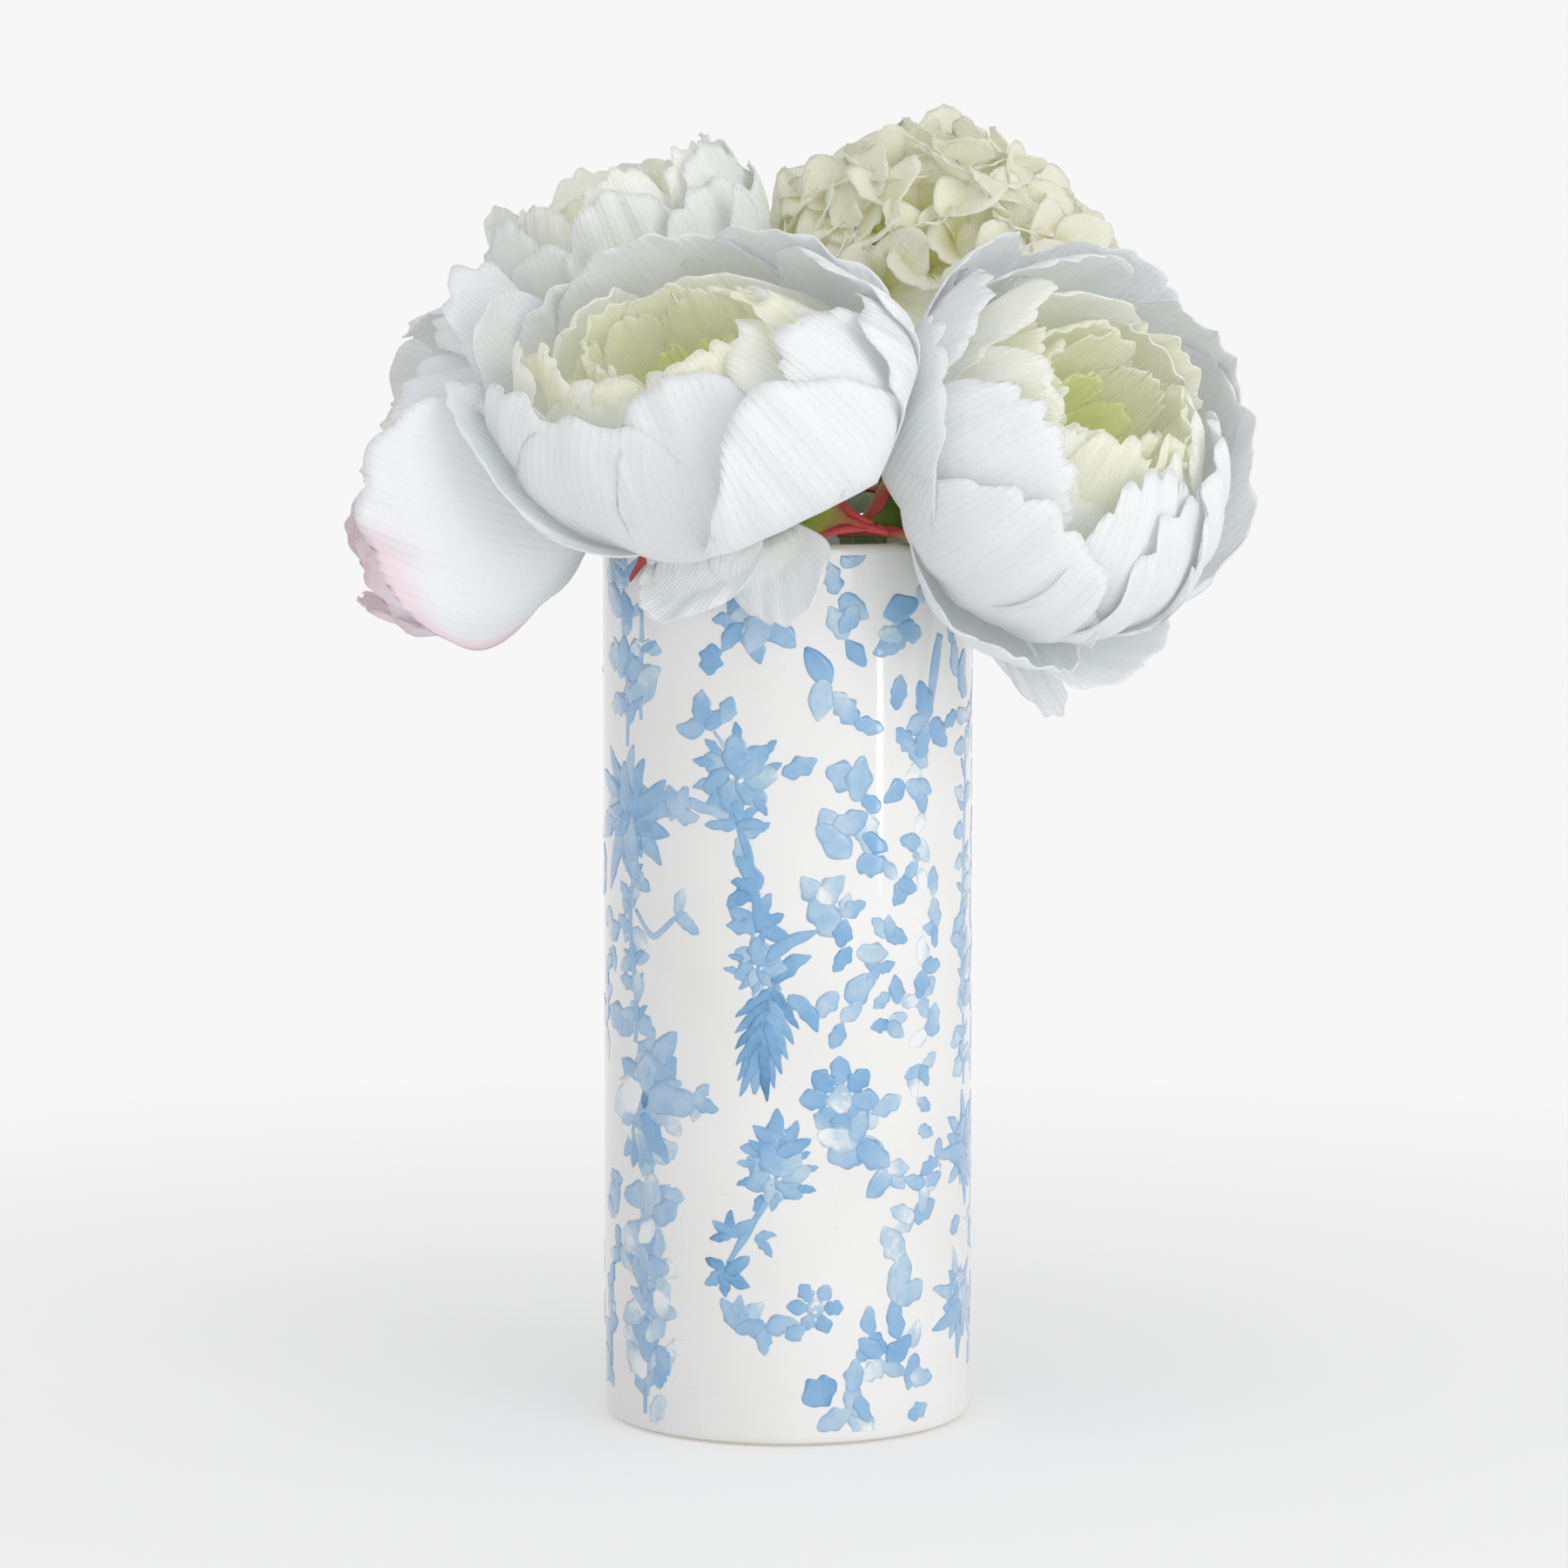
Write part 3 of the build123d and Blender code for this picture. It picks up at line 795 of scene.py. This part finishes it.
class Brush:
    """Paint strokes on the unrolled wall: s is the distance round from the front, z the height, in mm.

    Each stroke is a thin closed wafer of enamel that starts just under the glaze. Tones run from 0,
    bare white, through 0.25, a pale wash, to 1, full blue.
    """

    LAYERS = 9  # heights that strokes take in turn, so that those near each other differ
    LAYER_STEP = 0.011 * MM
    LIFT = 0.05 * MM  # of the lowest layer over the glaze
    SUNK = 0.2 * MM  # how deep a wafer's underside lies
    LOWEST, HIGHEST = 4.0, 251.0  # where the painted wall ends, clear of the foot and the lip
    ACROSS = np.array([-1.0, -0.62, 0.0, 0.62, 1.0])  # points across a stroke, of its half width
    EDGE_POOL = np.array([0.04, -0.01, -0.03, -0.01, 0.04])  # how much darker the wash is there
    laid = 0  # strokes so far, in all pieces

    def __init__(self, seed):
        self.rng = random.Random(seed)
        self.points, self.faces, self.tones = [], [], []
        self.count = 0

    def stroke(self, spine, widths, tone, drift=0.0):
        """spine is an (n, 2) path, widths its half widths, drift how much darker its far end is."""
        spine = np.asarray(spine, float)
        n, across = len(spine), len(self.ACROSS)
        heading = np.gradient(spine, axis=0)
        heading /= np.linalg.norm(heading, axis=1)[:, None] + 1e-9
        normal = np.stack([-heading[:, 1], heading[:, 0]], axis=1)
        t = np.linspace(0, 1, n)[:, None]
        shake = 1 + 0.20 * wave(self.rng, 2, 0.9, 3.0)(t + 0.3 * self.ACROSS)
        half = self.ACROSS * np.asarray(widths)[:, None] * shake
        flat = spine[:, None, :] + normal[:, None, :] * half[..., None]
        shade = tone + drift * (t - 0.5) + self.EDGE_POOL
        Brush.laid += 1
        lift = self.LIFT + self.LAYER_STEP * (Brush.laid % self.LAYERS)
        bearing = flat[..., 0] * MM / VASE_RADIUS
        height = np.clip(flat[..., 1], self.LOWEST, self.HIGHEST) * MM
        for radius in (VASE_RADIUS + lift, VASE_RADIUS - self.SUNK):
            wall = np.stack([np.sin(bearing) * radius, -np.cos(bearing) * radius, height], axis=-1)
            self.points.append(wall.reshape(-1, 3))
            self.tones.append(shade.reshape(-1))
        face = n * across
        top = self.count + np.arange(face).reshape(n, across)
        self.faces += [quads(top)[:, ::-1], quads(top[:, ::-1] + face)[:, ::-1]]
        border = np.concatenate([top[:, 0], top[-1, 1:], top[::-1, -1][1:], top[0, ::-1][1:-1]])
        beyond = np.roll(border, -1)
        self.faces.append(np.stack([border + face, beyond + face, beyond, border], axis=-1))
        self.count += 2 * face

    def leaf(self, s, z, degrees, length, width, tone, bend=0.0, blunt=0.75):
        """A pressed-brush leaf from its base at (s, z); blunt above 1 is fuller towards its tip."""
        t = np.linspace(0, 1, 17)
        rib = np.stack([length * t, bend * length * np.sin(math.pi * t), 0 * t], axis=-1)
        half = width / 2 * np.sin(math.pi * np.clip(t, 0.012, 0.988) ** blunt) ** 0.62
        tone += self.rng.uniform(-0.14, 0.14)
        self.stroke((s, z) + spin(rib, degrees)[:, :2], half, tone, drift=self.rng.uniform(-0.3, 0.3))

    def dab(self, s, z, degrees, length, width, tone):
        """A rounded touch of the brush, centred."""
        self.leaf(*polar(s, z, degrees, -length / 2), degrees, length, width, tone, blunt=1.0)

    def line(self, path, width, tone):
        """A stem through a few points, smoothed, thinner at its ends."""
        path = np.asarray(path, float)
        t = np.linspace(0, 1, max(8, 5 * len(path)))
        knots = np.linspace(0, 1, len(path))
        spine = np.stack([np.interp(t, knots, path[:, 0]), np.interp(t, knots, path[:, 1])], axis=1)
        for _ in range(3):
            spine[1:-1] = (spine[:-2] + spine[1:-1] * 2 + spine[2:]) / 4
        self.stroke(spine, width / 2 * (0.75 + 0.25 * np.sin(math.pi * t)), tone)

    def thistle(self, s, z, size, rays, tone):
        """A spiky bloom: long and short rays out of a full heart."""
        self.dab(s, z, 90, size, size * 0.95, tone - 0.05)
        for i in range(rays):
            long = size * (1.0 if i % 2 == 0 else 0.72) * self.rng.uniform(0.78, 1.12)
            turn = 360 / rays * i + self.rng.uniform(-8, 8)
            self.leaf(s, z, turn, long, size * 0.30, tone, self.rng.uniform(-0.08, 0.08), blunt=0.62)
        for i in range(rays // 2):
            self.leaf(s, z, 720 / rays * i + 20, size * 0.48, size * 0.24, tone + 0.2, blunt=0.7)

    def rosette(self, s, z, size, petals, tone):
        """Broad petals round a pale eye with white dots."""
        for i in range(petals):
            turn = 360 / petals * i + self.rng.uniform(-6, 6)
            reach = size * self.rng.uniform(0.62, 0.78)
            self.leaf(*polar(s, z, turn, size * 0.28), turn, reach, size * 0.55, tone, blunt=1.0)
        self.dab(s, z, 90, size * 0.72, size * 0.66, 0.2)
        for i in range(4):
            turn = math.degrees(self.rng.uniform(0, 6.28))
            self.dab(*polar(s, z, turn, size * 0.16), 60 * i, size * 0.14, size * 0.12, WHITE_DOT)

    def pompon(self, s, z, size, tone):
        """A round ragged bloom: a pale wash, darker dabs round it and white dots in the middle."""
        for i in range(7):
            turn = 360 / 7 * i + self.rng.uniform(-10, 10)
            self.dab(*polar(s, z, turn, size * 0.42), turn, size * 0.9, size * 0.62, 0.36)
        for i in range(9):
            turn = 40 * i + self.rng.uniform(-12, 12)
            start = polar(s, z, turn, size * self.rng.uniform(0.45, 0.68))
            self.leaf(*start, turn + self.rng.uniform(-25, 25), size * 0.5, size * 0.22, tone)
        for i in range(4):
            self.dab(*polar(s, z, 100 * i, size * 0.14), 70 * i, size * 0.14, size * 0.1, WHITE_DOT)

    def spray(self, s, z, degrees, leaves, size, tone, plump, fan=110):
        """A few leaves from one point."""
        for i in range(leaves):
            turn = degrees + fan * (i / max(1, leaves - 1) - 0.5) + self.rng.uniform(-8, 8)
            long = size * self.rng.uniform(0.8, 1.15)
            self.leaf(s, z, turn, long, long * plump, tone, self.rng.uniform(-0.08, 0.08))

    def plume(self, s, z, degrees, size, tone):
        """A feathered leaf: barbs down both sides of a rib that swell into one tail."""
        self.leaf(s, z, degrees, size, size * 0.22, tone)
        for i in range(6):
            start = polar(s, z, degrees, size * (0.04 + 0.1 * i))
            for side in (-1, 1):
                turn = degrees + side * (44 - 6 * i)
                shade = tone + self.rng.uniform(0, 0.1)
                self.leaf(*start, turn, size * (0.42 + 0.02 * i), size * 0.11, shade, blunt=0.6)

    def cluster(self, s, z, size, tone):
        """One to three plump leaves that touch, over a paler one."""
        turn = self.rng.uniform(0, 360)
        if self.rng.random() < 0.7:
            pale = size * self.rng.uniform(0.8, 1.1)
            pale_turn = turn + self.rng.uniform(120, 200)
            self.leaf(s, z, pale_turn, pale, pale * 0.6, tone - 0.22, blunt=0.85)
        for i in range(self.rng.choice((1, 1, 2, 2, 3))):
            long = size * self.rng.uniform(0.75, 1.1)
            shift = self.rng.uniform(-0.25, 0.25) * size
            leaf_turn = turn + i * self.rng.uniform(95, 140)
            width = long * self.rng.uniform(0.52, 0.7)
            shade = tone + self.rng.uniform(-0.12, 0.12)
            blunt = self.rng.choice((0.7, 0.85, 1.1))
            self.leaf(s + shift, z - shift, leaf_turn, long, width, shade, blunt=blunt)

    def fall(self, s, top, bottom, spread, size, tone, step=1.0):
        """Loose leaves that hang in a column with no stem."""
        z = top
        while z > bottom:
            self.cluster(s + self.rng.uniform(-spread, spread), z, size * self.rng.uniform(0.8, 1.15), tone)
            z -= size * step * self.rng.uniform(0.8, 1.2)

    def vine(self, s, top, bottom, sway, size, tone, left=1.0, body=0.5):
        """A hanging stem with broad pale leaves and darker pointed ones over them.

        left is how large its left leaves are, body how often a wash covers the stem itself.
        """
        steps = max(3, int((top - bottom) / (size * 0.8)))
        drift = wave(self.rng, 2, 0.5, 1.6)
        down = np.arange(steps + 1) / steps
        path = np.stack([s + sway * drift(down), top + (bottom - top) * down], axis=1)
        self.line(path, 2.0, tone)
        for x, y in path[:-1]:
            if self.rng.random() < body:
                aside = self.rng.uniform(-0.2, 0.2) * size
                self.dab(x + aside, y, self.rng.uniform(60, 120), size * 0.95, size * 0.6, tone - 0.08)
            for side, share in ((1, 1.0), (-1, left)):
                if self.rng.random() < 0.8:
                    reach = size * share * self.rng.uniform(0.75, 1.15)
                    turn = 90 - side * self.rng.uniform(40, 125)
                    self.leaf(x, y, turn, reach, reach * self.rng.uniform(0.5, 0.66), tone - 0.16, blunt=0.9)
                if self.rng.random() < 0.75:
                    reach = size * share * self.rng.uniform(0.5, 0.85)
                    turn = 90 - side * self.rng.uniform(25, 70)
                    self.leaf(x, y - 2, turn, reach, reach * 0.36, tone + 0.08, self.rng.uniform(-0.1, 0.1))

    def piece(self, name, material):
        """Its strokes as one piece on the vase."""
        mesh = mesh_of(name, self.points, self.faces, {"tone": self.tones})
        add_object(name, mesh, material, "vase")


def paint_left_vine(brush):
    """Hanging vines down the left with a thistle and a broad bloom."""
    brush.vine(-55, 246, 196, 2, 13, 0.42, body=0.9)
    brush.vine(-47, 236, 204, 2, 11, 0.40, left=0.5)
    brush.thistle(-53, 177, 24, 18, 0.5)
    brush.line([(-36, 177), (-29, 182), (-22, 180), (-17, 178)], 3.2, 0.32)
    brush.spray(-33, 178, 60, 3, 8, 0.32, plump=0.6)
    brush.vine(-51, 160, 112, 2, 9, 0.42, body=0.7)
    brush.line([(-50, 150), (-42, 142), (-36, 147), (-31, 151)], 1.6, 0.34)
    brush.spray(-33, 150, 20, 2, 9, 0.32, plump=0.5)
    brush.fall(-44, 112, 84, 6, 15, 0.34, step=0.4)
    brush.spray(-44, 98, 0, 7, 17, 0.34, fan=300, plump=0.55)
    brush.spray(-47, 92, -90, 5, 15, 0.52, fan=70, plump=0.4)
    brush.dab(-46, 96, 90, 5, 3, 0.98)
    brush.spray(-27, 98, -20, 3, 8, 0.3, fan=150, plump=0.6)
    brush.vine(-45, 80, 6, 3, 13, 0.40, body=1.0)
    brush.fall(-42, 62, 8, 5, 10, 0.36, step=0.6)
    brush.fall(-66, 70, 10, 3, 10, 0.5)
    brush.fall(-70, 176, 110, 3, 9, 0.4)


def paint_centre_sprigs(brush):
    """Two flowering sprigs and a plume in the middle of the front."""
    brush.dab(-22, 222, 80, 9, 7, 0.66)
    brush.spray(-12, 232, 200, 4, 12, 0.5, fan=170, plump=0.5)
    brush.spray(-6, 236, 250, 3, 12, 0.36, plump=0.6)
    brush.spray(-24, 203, 100, 3, 10, 0.42, fan=150, plump=0.6)
    brush.dab(-17, 208, 70, 8, 5, 0.34)
    brush.line([(-21, 202), (-18, 198), (-17, 195)], 1.0, 0.34)
    brush.pompon(-14, 190, 13, 0.56)
    brush.spray(-14, 176, 90, 5, 10, 0.55, fan=190, plump=0.36)
    brush.spray(-13, 173, -40, 2, 8, 0.5, fan=130, plump=0.4)
    brush.line([(-14, 177), (-11, 168), (-9, 157), (-8, 146)], 2.6, 0.68)
    brush.spray(-8, 158, 160, 3, 10, 0.62, fan=80, plump=0.5)
    brush.spray(-8, 149, 20, 3, 9, 0.6, fan=90, plump=0.5)
    brush.spray(-8, 148, 165, 2, 10, 0.6, fan=40, plump=0.5)
    brush.pompon(-8, 137, 9, 0.58)
    brush.leaf(-6, 138, 30, 17, 4, 0.66, 0.08)
    brush.plume(-4, 131, -100, 31, 0.7)
    brush.leaf(-4, 132, 35, 13, 5, 0.68, 0.1)
    brush.leaf(0, 128, -50, 13, 5, 0.66, 0.12)
    brush.pompon(-3, 78, 11, 0.6)
    brush.spray(-3, 84, 90, 5, 11, 0.62, fan=150, plump=0.44)
    brush.line([(-6, 70), (-11, 62), (-17, 52)], 2.2, 0.52)
    brush.spray(-16, 60, 110, 4, 8, 0.64, fan=160, plump=0.42)
    brush.spray(-18, 50, -90, 5, 8, 0.7, fan=240, plump=0.5)
    brush.spray(-9, 60, -20, 2, 7, 0.58, fan=60, plump=0.4)
    brush.rosette(8, 40, 8, 6, 0.55)
    brush.spray(-13, 34, 90, 3, 10, 0.3, fan=80, plump=0.5)
    brush.spray(-6, 34, -90, 3, 9, 0.34, fan=180, plump=0.6)
    brush.dab(2, 33, 30, 6, 5, 0.5)
    brush.rosette(15, 99, 11.5, 8, 0.55)


def paint_right_leaves(brush):
    """Columns of loose leaves down the right, with two thistles near the edge."""
    brush.fall(17, 250, 206, 7, 12, 0.44)
    brush.fall(16, 204, 152, 7, 11.5, 0.40)
    brush.fall(16, 150, 116, 7, 10, 0.46)
    brush.fall(30, 178, 116, 4, 8, 0.42)
    brush.fall(40, 238, 190, 6, 11, 0.50)
    brush.line([(50, 228), (47, 218), (45, 206)], 4.0, 0.45)
    brush.fall(42, 186, 130, 7, 9, 0.36)
    brush.fall(45, 126, 62, 6, 9, 0.32)
    brush.fall(26, 92, 76, 7, 11, 0.36, step=0.6)
    brush.dab(17, 84, 20, 12, 10, 0.42)
    brush.fall(36, 50, 34, 5, 12, 0.36)
    brush.dab(9, 16, 30, 11, 9, 0.56)
    brush.fall(24, 30, 8, 8, 11, 0.42, step=0.6)
    brush.fall(40, 26, 8, 5, 10, 0.38)
    brush.fall(60, 244, 200, 4, 10, 0.46)
    brush.vine(66, 196, 98, 2, 10, 0.44)
    brush.thistle(67, 80, 18, 16, 0.56)
    brush.thistle(63, 36, 17, 14, 0.40)
    brush.fall(66, 58, 50, 3, 8, 0.4)


def paint_back(brush):
    """The same plants carried on round the back."""
    brush.vine(100, 246, 190, 3, 12, 0.44)
    brush.thistle(101, 166, 22, 18, 0.5)
    brush.vine(100, 146, 12, 4, 12, 0.42)
    brush.fall(83, 240, 16, 6, 11, 0.40)
    brush.pompon(125, 206, 13, 0.56)
    brush.spray(125, 194, 90, 5, 10, 0.55, fan=190, plump=0.36)
    brush.line([(125, 195), (127, 180), (131, 166)], 2.4, 0.62)
    brush.spray(131, 170, 90, 5, 10, 0.6, fan=200, plump=0.5)
    brush.plume(129, 160, -82, 30, 0.68)
    brush.rosette(129, 106, 11, 8, 0.55)
    brush.fall(124, 90, 54, 7, 11, 0.38)
    brush.rosette(133, 38, 9, 7, 0.5)
    brush.fall(120, 34, 10, 7, 11, 0.42)
    brush.vine(153, 246, 152, 3, 12, 0.42)
    brush.thistle(152, 128, 22, 18, 0.48)
    brush.vine(153, 106, 10, 4, 12, 0.42)
    brush.fall(-146, 240, 156, 7, 11, 0.42)
    brush.rosette(-145, 140, 11.5, 8, 0.55)
    brush.fall(-146, 124, 12, 7, 11, 0.40)
    brush.vine(-121, 246, 178, 3, 12, 0.44)
    brush.thistle(-121, 156, 20, 16, 0.5)
    brush.vine(-121, 138, 72, 3, 12, 0.42)
    brush.rosette(-120, 56, 11, 7, 0.52)
    brush.fall(-121, 40, 10, 7, 11, 0.38)
    brush.pompon(-96, 214, 13, 0.56)
    brush.line([(-96, 204), (-93, 190), (-91, 176)], 2.4, 0.6)
    brush.spray(-93, 190, 90, 5, 10, 0.6, fan=210, plump=0.5)
    brush.plume(-91, 178, -96, 30, 0.66)
    brush.fall(-94, 142, 92, 7, 11, 0.40)
    brush.rosette(-94, 76, 11, 8, 0.52)
    brush.fall(-92, 60, 12, 7, 11, 0.40)


def brushwork():
    """The four painted pieces, each with its own seed."""
    material = paint()
    for name, seed, draw in (
        ("painted_left_vine", 3, paint_left_vine),
        ("painted_centre_sprigs", 5, paint_centre_sprigs),
        ("painted_right_leaves", 8, paint_right_leaves),
        ("painted_back_plants", 13, paint_back),
    ):
        brush = Brush(seed)
        draw(brush)
        brush.piece(name, material)


# ---------------- the stage
BACKGROUND = (0.93, 0.93, 0.93)
AMBIENT = (0.98, 0.985, 1.0)
AMBIENT_STRENGTH = 0.61
FLOOR_SIDE = 60.0
CAMERA_PLACE = (-0.001, -1.5, 0.327)
CAMERA_DOWN = 5.5  # degrees below level
CAMERA_LENS = 120.2  # mm, on a 36 mm sensor


def area_light(name, place, size, power, colour=(1, 1, 1), mirrored=True):
    """A rectangular lamp aimed at the middle of the object."""
    data = bpy.data.lights.new(name, "AREA")
    data.shape = "RECTANGLE"
    data.size, data.size_y = size
    data.energy = power
    data.color = colour
    lamp = placed(bpy.data.objects.new(name, data))
    lamp.location = place
    lamp.visible_glossy = mirrored
    way = Vector((0, 0, 0.2)) - Vector(place)
    lamp.rotation_euler = way.to_track_quat("-Z", "Y").to_euler()


def studio():
    """The floor, the world and four lamps."""
    floor_mesh = bpy.data.meshes.new("floor")
    corners = [(x * FLOOR_SIDE / 2, y * FLOOR_SIDE / 2, 0) for x, y in ((-1, -1), (1, -1), (1, 1), (-1, 1))]
    floor_mesh.from_pydata(corners, [], [(0, 1, 2, 3)])
    floor_mesh.materials.append(pale_floor())
    placed(bpy.data.objects.new("floor", floor_mesh))
    world = bpy.data.worlds.new("studio")
    world.use_nodes = True
    tree = world.node_tree
    background = tree.nodes["Background"]
    background.inputs["Color"].default_value = (*AMBIENT, 1)
    background.inputs["Strength"].default_value = AMBIENT_STRENGTH
    seen = tree.nodes.new("ShaderNodeBackground")
    seen.inputs["Color"].default_value = (*BACKGROUND, 1)
    path = tree.nodes.new("ShaderNodeLightPath")
    both = tree.nodes.new("ShaderNodeMixShader")
    tree.links.new(path.outputs["Is Camera Ray"], both.inputs[0])
    tree.links.new(background.outputs[0], both.inputs[1])
    tree.links.new(seen.outputs[0], both.inputs[2])
    tree.links.new(both.outputs[0], tree.nodes["World Output"].inputs["Surface"])
    bpy.context.scene.world = world
    area_light("key", (1.1, -1.4, 0.8), (1.4, 1.4), 11, (1.0, 0.99, 0.97))
    area_light("fill", (0.5, -1.5, 0.14), (1.6, 0.24), 2.0, (0.96, 0.98, 1.0), mirrored=False)
    area_light("strip", (1.3, -0.8, 0.2), (0.10, 0.40), 0.6)
    area_light("top", (-0.2, -0.8, 1.6), (1.2, 1.2), 3)
    bpy.context.scene.view_settings.view_transform = "Standard"


def camera():
    """Level with the flowers and a little above the vase, looking slightly down."""
    data = bpy.data.cameras.new("camera")
    data.lens = CAMERA_LENS
    data.sensor_width = 36
    data.clip_start = 0.05
    eye = placed(bpy.data.objects.new("camera", data))
    eye.location = CAMERA_PLACE
    eye.rotation_euler = (math.radians(90 - CAMERA_DOWN), 0, 0)
    bpy.context.scene.camera = eye


# ---------------- put it together
def repaint(node, material):
    """Gives a CAD part a material of its own."""
    for slot in frame["nodes"][node].material_slots:
        slot.link = "OBJECT"
        slot.material = material


CLOTHS = {  # the colours of root, middle and tip, the light let through, and the strength of a painted glow that the cloth gives off itself
    "petal_white": ((0.84, 0.88, 0.66), (0.91, 0.925, 0.89), (0.92, 0.935, 0.945), 0.3, 0.055),
    "petal_ivory": ((0.78, 0.86, 0.42), (0.94, 0.96, 0.80), (0.97, 0.975, 0.94), 0.45, 0.10),
    "petal_green_cream": ((0.82, 0.90, 0.38), (0.92, 0.94, 0.70), (0.97, 0.975, 0.88), 0.5, 0.09),
    "heart_green": ((0.74, 0.86, 0.30), (0.86, 0.92, 0.48), (0.94, 0.96, 0.68), 0.5, 0.10),
    "floret_cream": ((0.78, 0.80, 0.34), (0.90, 0.90, 0.68), (0.96, 0.96, 0.86), 0.4, 0.10),
}
MATERIALS = {name: petal_cloth(name, *looks) for name, looks in CLOTHS.items()}
MATERIALS["leaf_green"] = leaf_cloth()
MATERIALS["calyx_green"] = sepal_plastic()
STEM = stem_plastic("stem_plastic", (0.05, 0.10, 0.02), (0.10, 0.18, 0.04))
BRANCH = stem_plastic("branch_plastic", (0.16, 0.22, 0.06), (0.26, 0.34, 0.10))

repaint("vase_body", porcelain())
brushwork()
for flower in FLOWERS:
    repaint(f"{flower}_stem", STEM)
    if flower == "hydrangea":
        leaf(flower, roll=42, droop=0.12)
    else:
        leaf(flower)
repaint("hydrangea_branches", BRANCH)
hydrangea_florets()
OPEN_GUARD = dict(
    GUARD, lean=90, curl=-20, length=2.15, width=0.98, ruffle=0.02, notch=0.018, point=0.02, lobes=5,
)
OPEN_CUP = dict(CUP, lean=82, curl=-26, length=2.3, width=0.90, ruffle=0.02, notch=0.013, point=0.03, lobes=5)
OPEN_MIDDLE = dict(MIDDLE, lean=70, curl=-26, length=2.0, width=0.66, ruffle=0.022)
JAGGED_GUARD = dict(GUARD, notch=0.022, lobes=7)
JAGGED_CUP = dict(CUP, notch=0.024, lobes=7)
SHY_MIDDLE = dict(MIDDLE, length=1.4, lean=78, curl=-50)
SHY_INNER = dict(INNER, length=1.15)
Bloom(
    "peony_front", 7, start=-12, opening=50, grow=0.10, close=16, up=0.74, down=0.72, side=1.12,
    forward=0.98, tone=0.1, cream=0.5, flats=(((0.45, 0.0, -0.89), 0.84), ((0.0, 0.1, 1.0), 0.96)),
).build(
    (156, 1.08, 0.36, 100, 84, 0.7, 0.01, 0.12),
    (196, 0.98, 0.34, 104, 80, 0.9, 0.01, 0.12),
)
Bloom(
    "peony_right", 19, start=20, opening=10, grow=0.10, close=18, up=0.94, down=1.1, side=0.92, tone=0.1,
    cream=0.3, guard=JAGGED_GUARD, cup=JAGGED_CUP,
).build(
    (192, 1.18, 0.27, 96, 84, 0.6, 0.01, 0.05),
    (214, 1.45, 0.80, 108, 16, 1.1, 0.02, 0.0),
    (158, 1.50, 0.80, 106, 10, 1.1, 0.02, 0.0),
)
Bloom(
    "peony_upper", 23, start=-34, opening=60, grow=0.08, close=8, up=1.08, side=0.96, forward=1.06,
    tone=-0.56, guard=OPEN_GUARD, cup=OPEN_CUP, middle=OPEN_MIDDLE,
).build((276, 2.4, 0.55, 88, -8, 0.8, 0.008, 0.22))
Bloom(
    "peony_left", 31, start=-24, opening=90, grow=0.12, close=30, up=1.12, forward=1.03, tone=0.2,
    blush=0.75, middle=SHY_MIDDLE, inner=SHY_INNER,
).build(
    (256, 2.7, 1.2, 84, -28, 0.55, 0.014, 0.0),
    (312, 2.6, 1.05, 84, -10, 0.6, 0.016, 0.0),
)
SEPALS = tuple((72 * i + 20, 14, 82, 62, 0.0, 0.33) for i in range(5))
calyx(
    "peony_front",
    (266, 33, 96, 112, 0.05, 0.40),
    (118, 40, 94, 114, 0.25, 0.33),
    (180, 12, 84, 60, 0.0, 0.33),
    (60, 13, 80, 60, 0.0, 0.33),
    (320, 14, 80, 60, 0.0, 0.33),
)
calyx(
    "peony_right",
    (96, 35, 108, 120, -0.25, 0.75),
    (72, 27, 106, 118, 0.3, 0.33),
    (150, 15, 84, 64, 0.0, 0.33),
    *SEPALS[2:],
)
calyx("peony_upper", *SEPALS)
calyx("peony_left", *SEPALS)
studio()
camera()
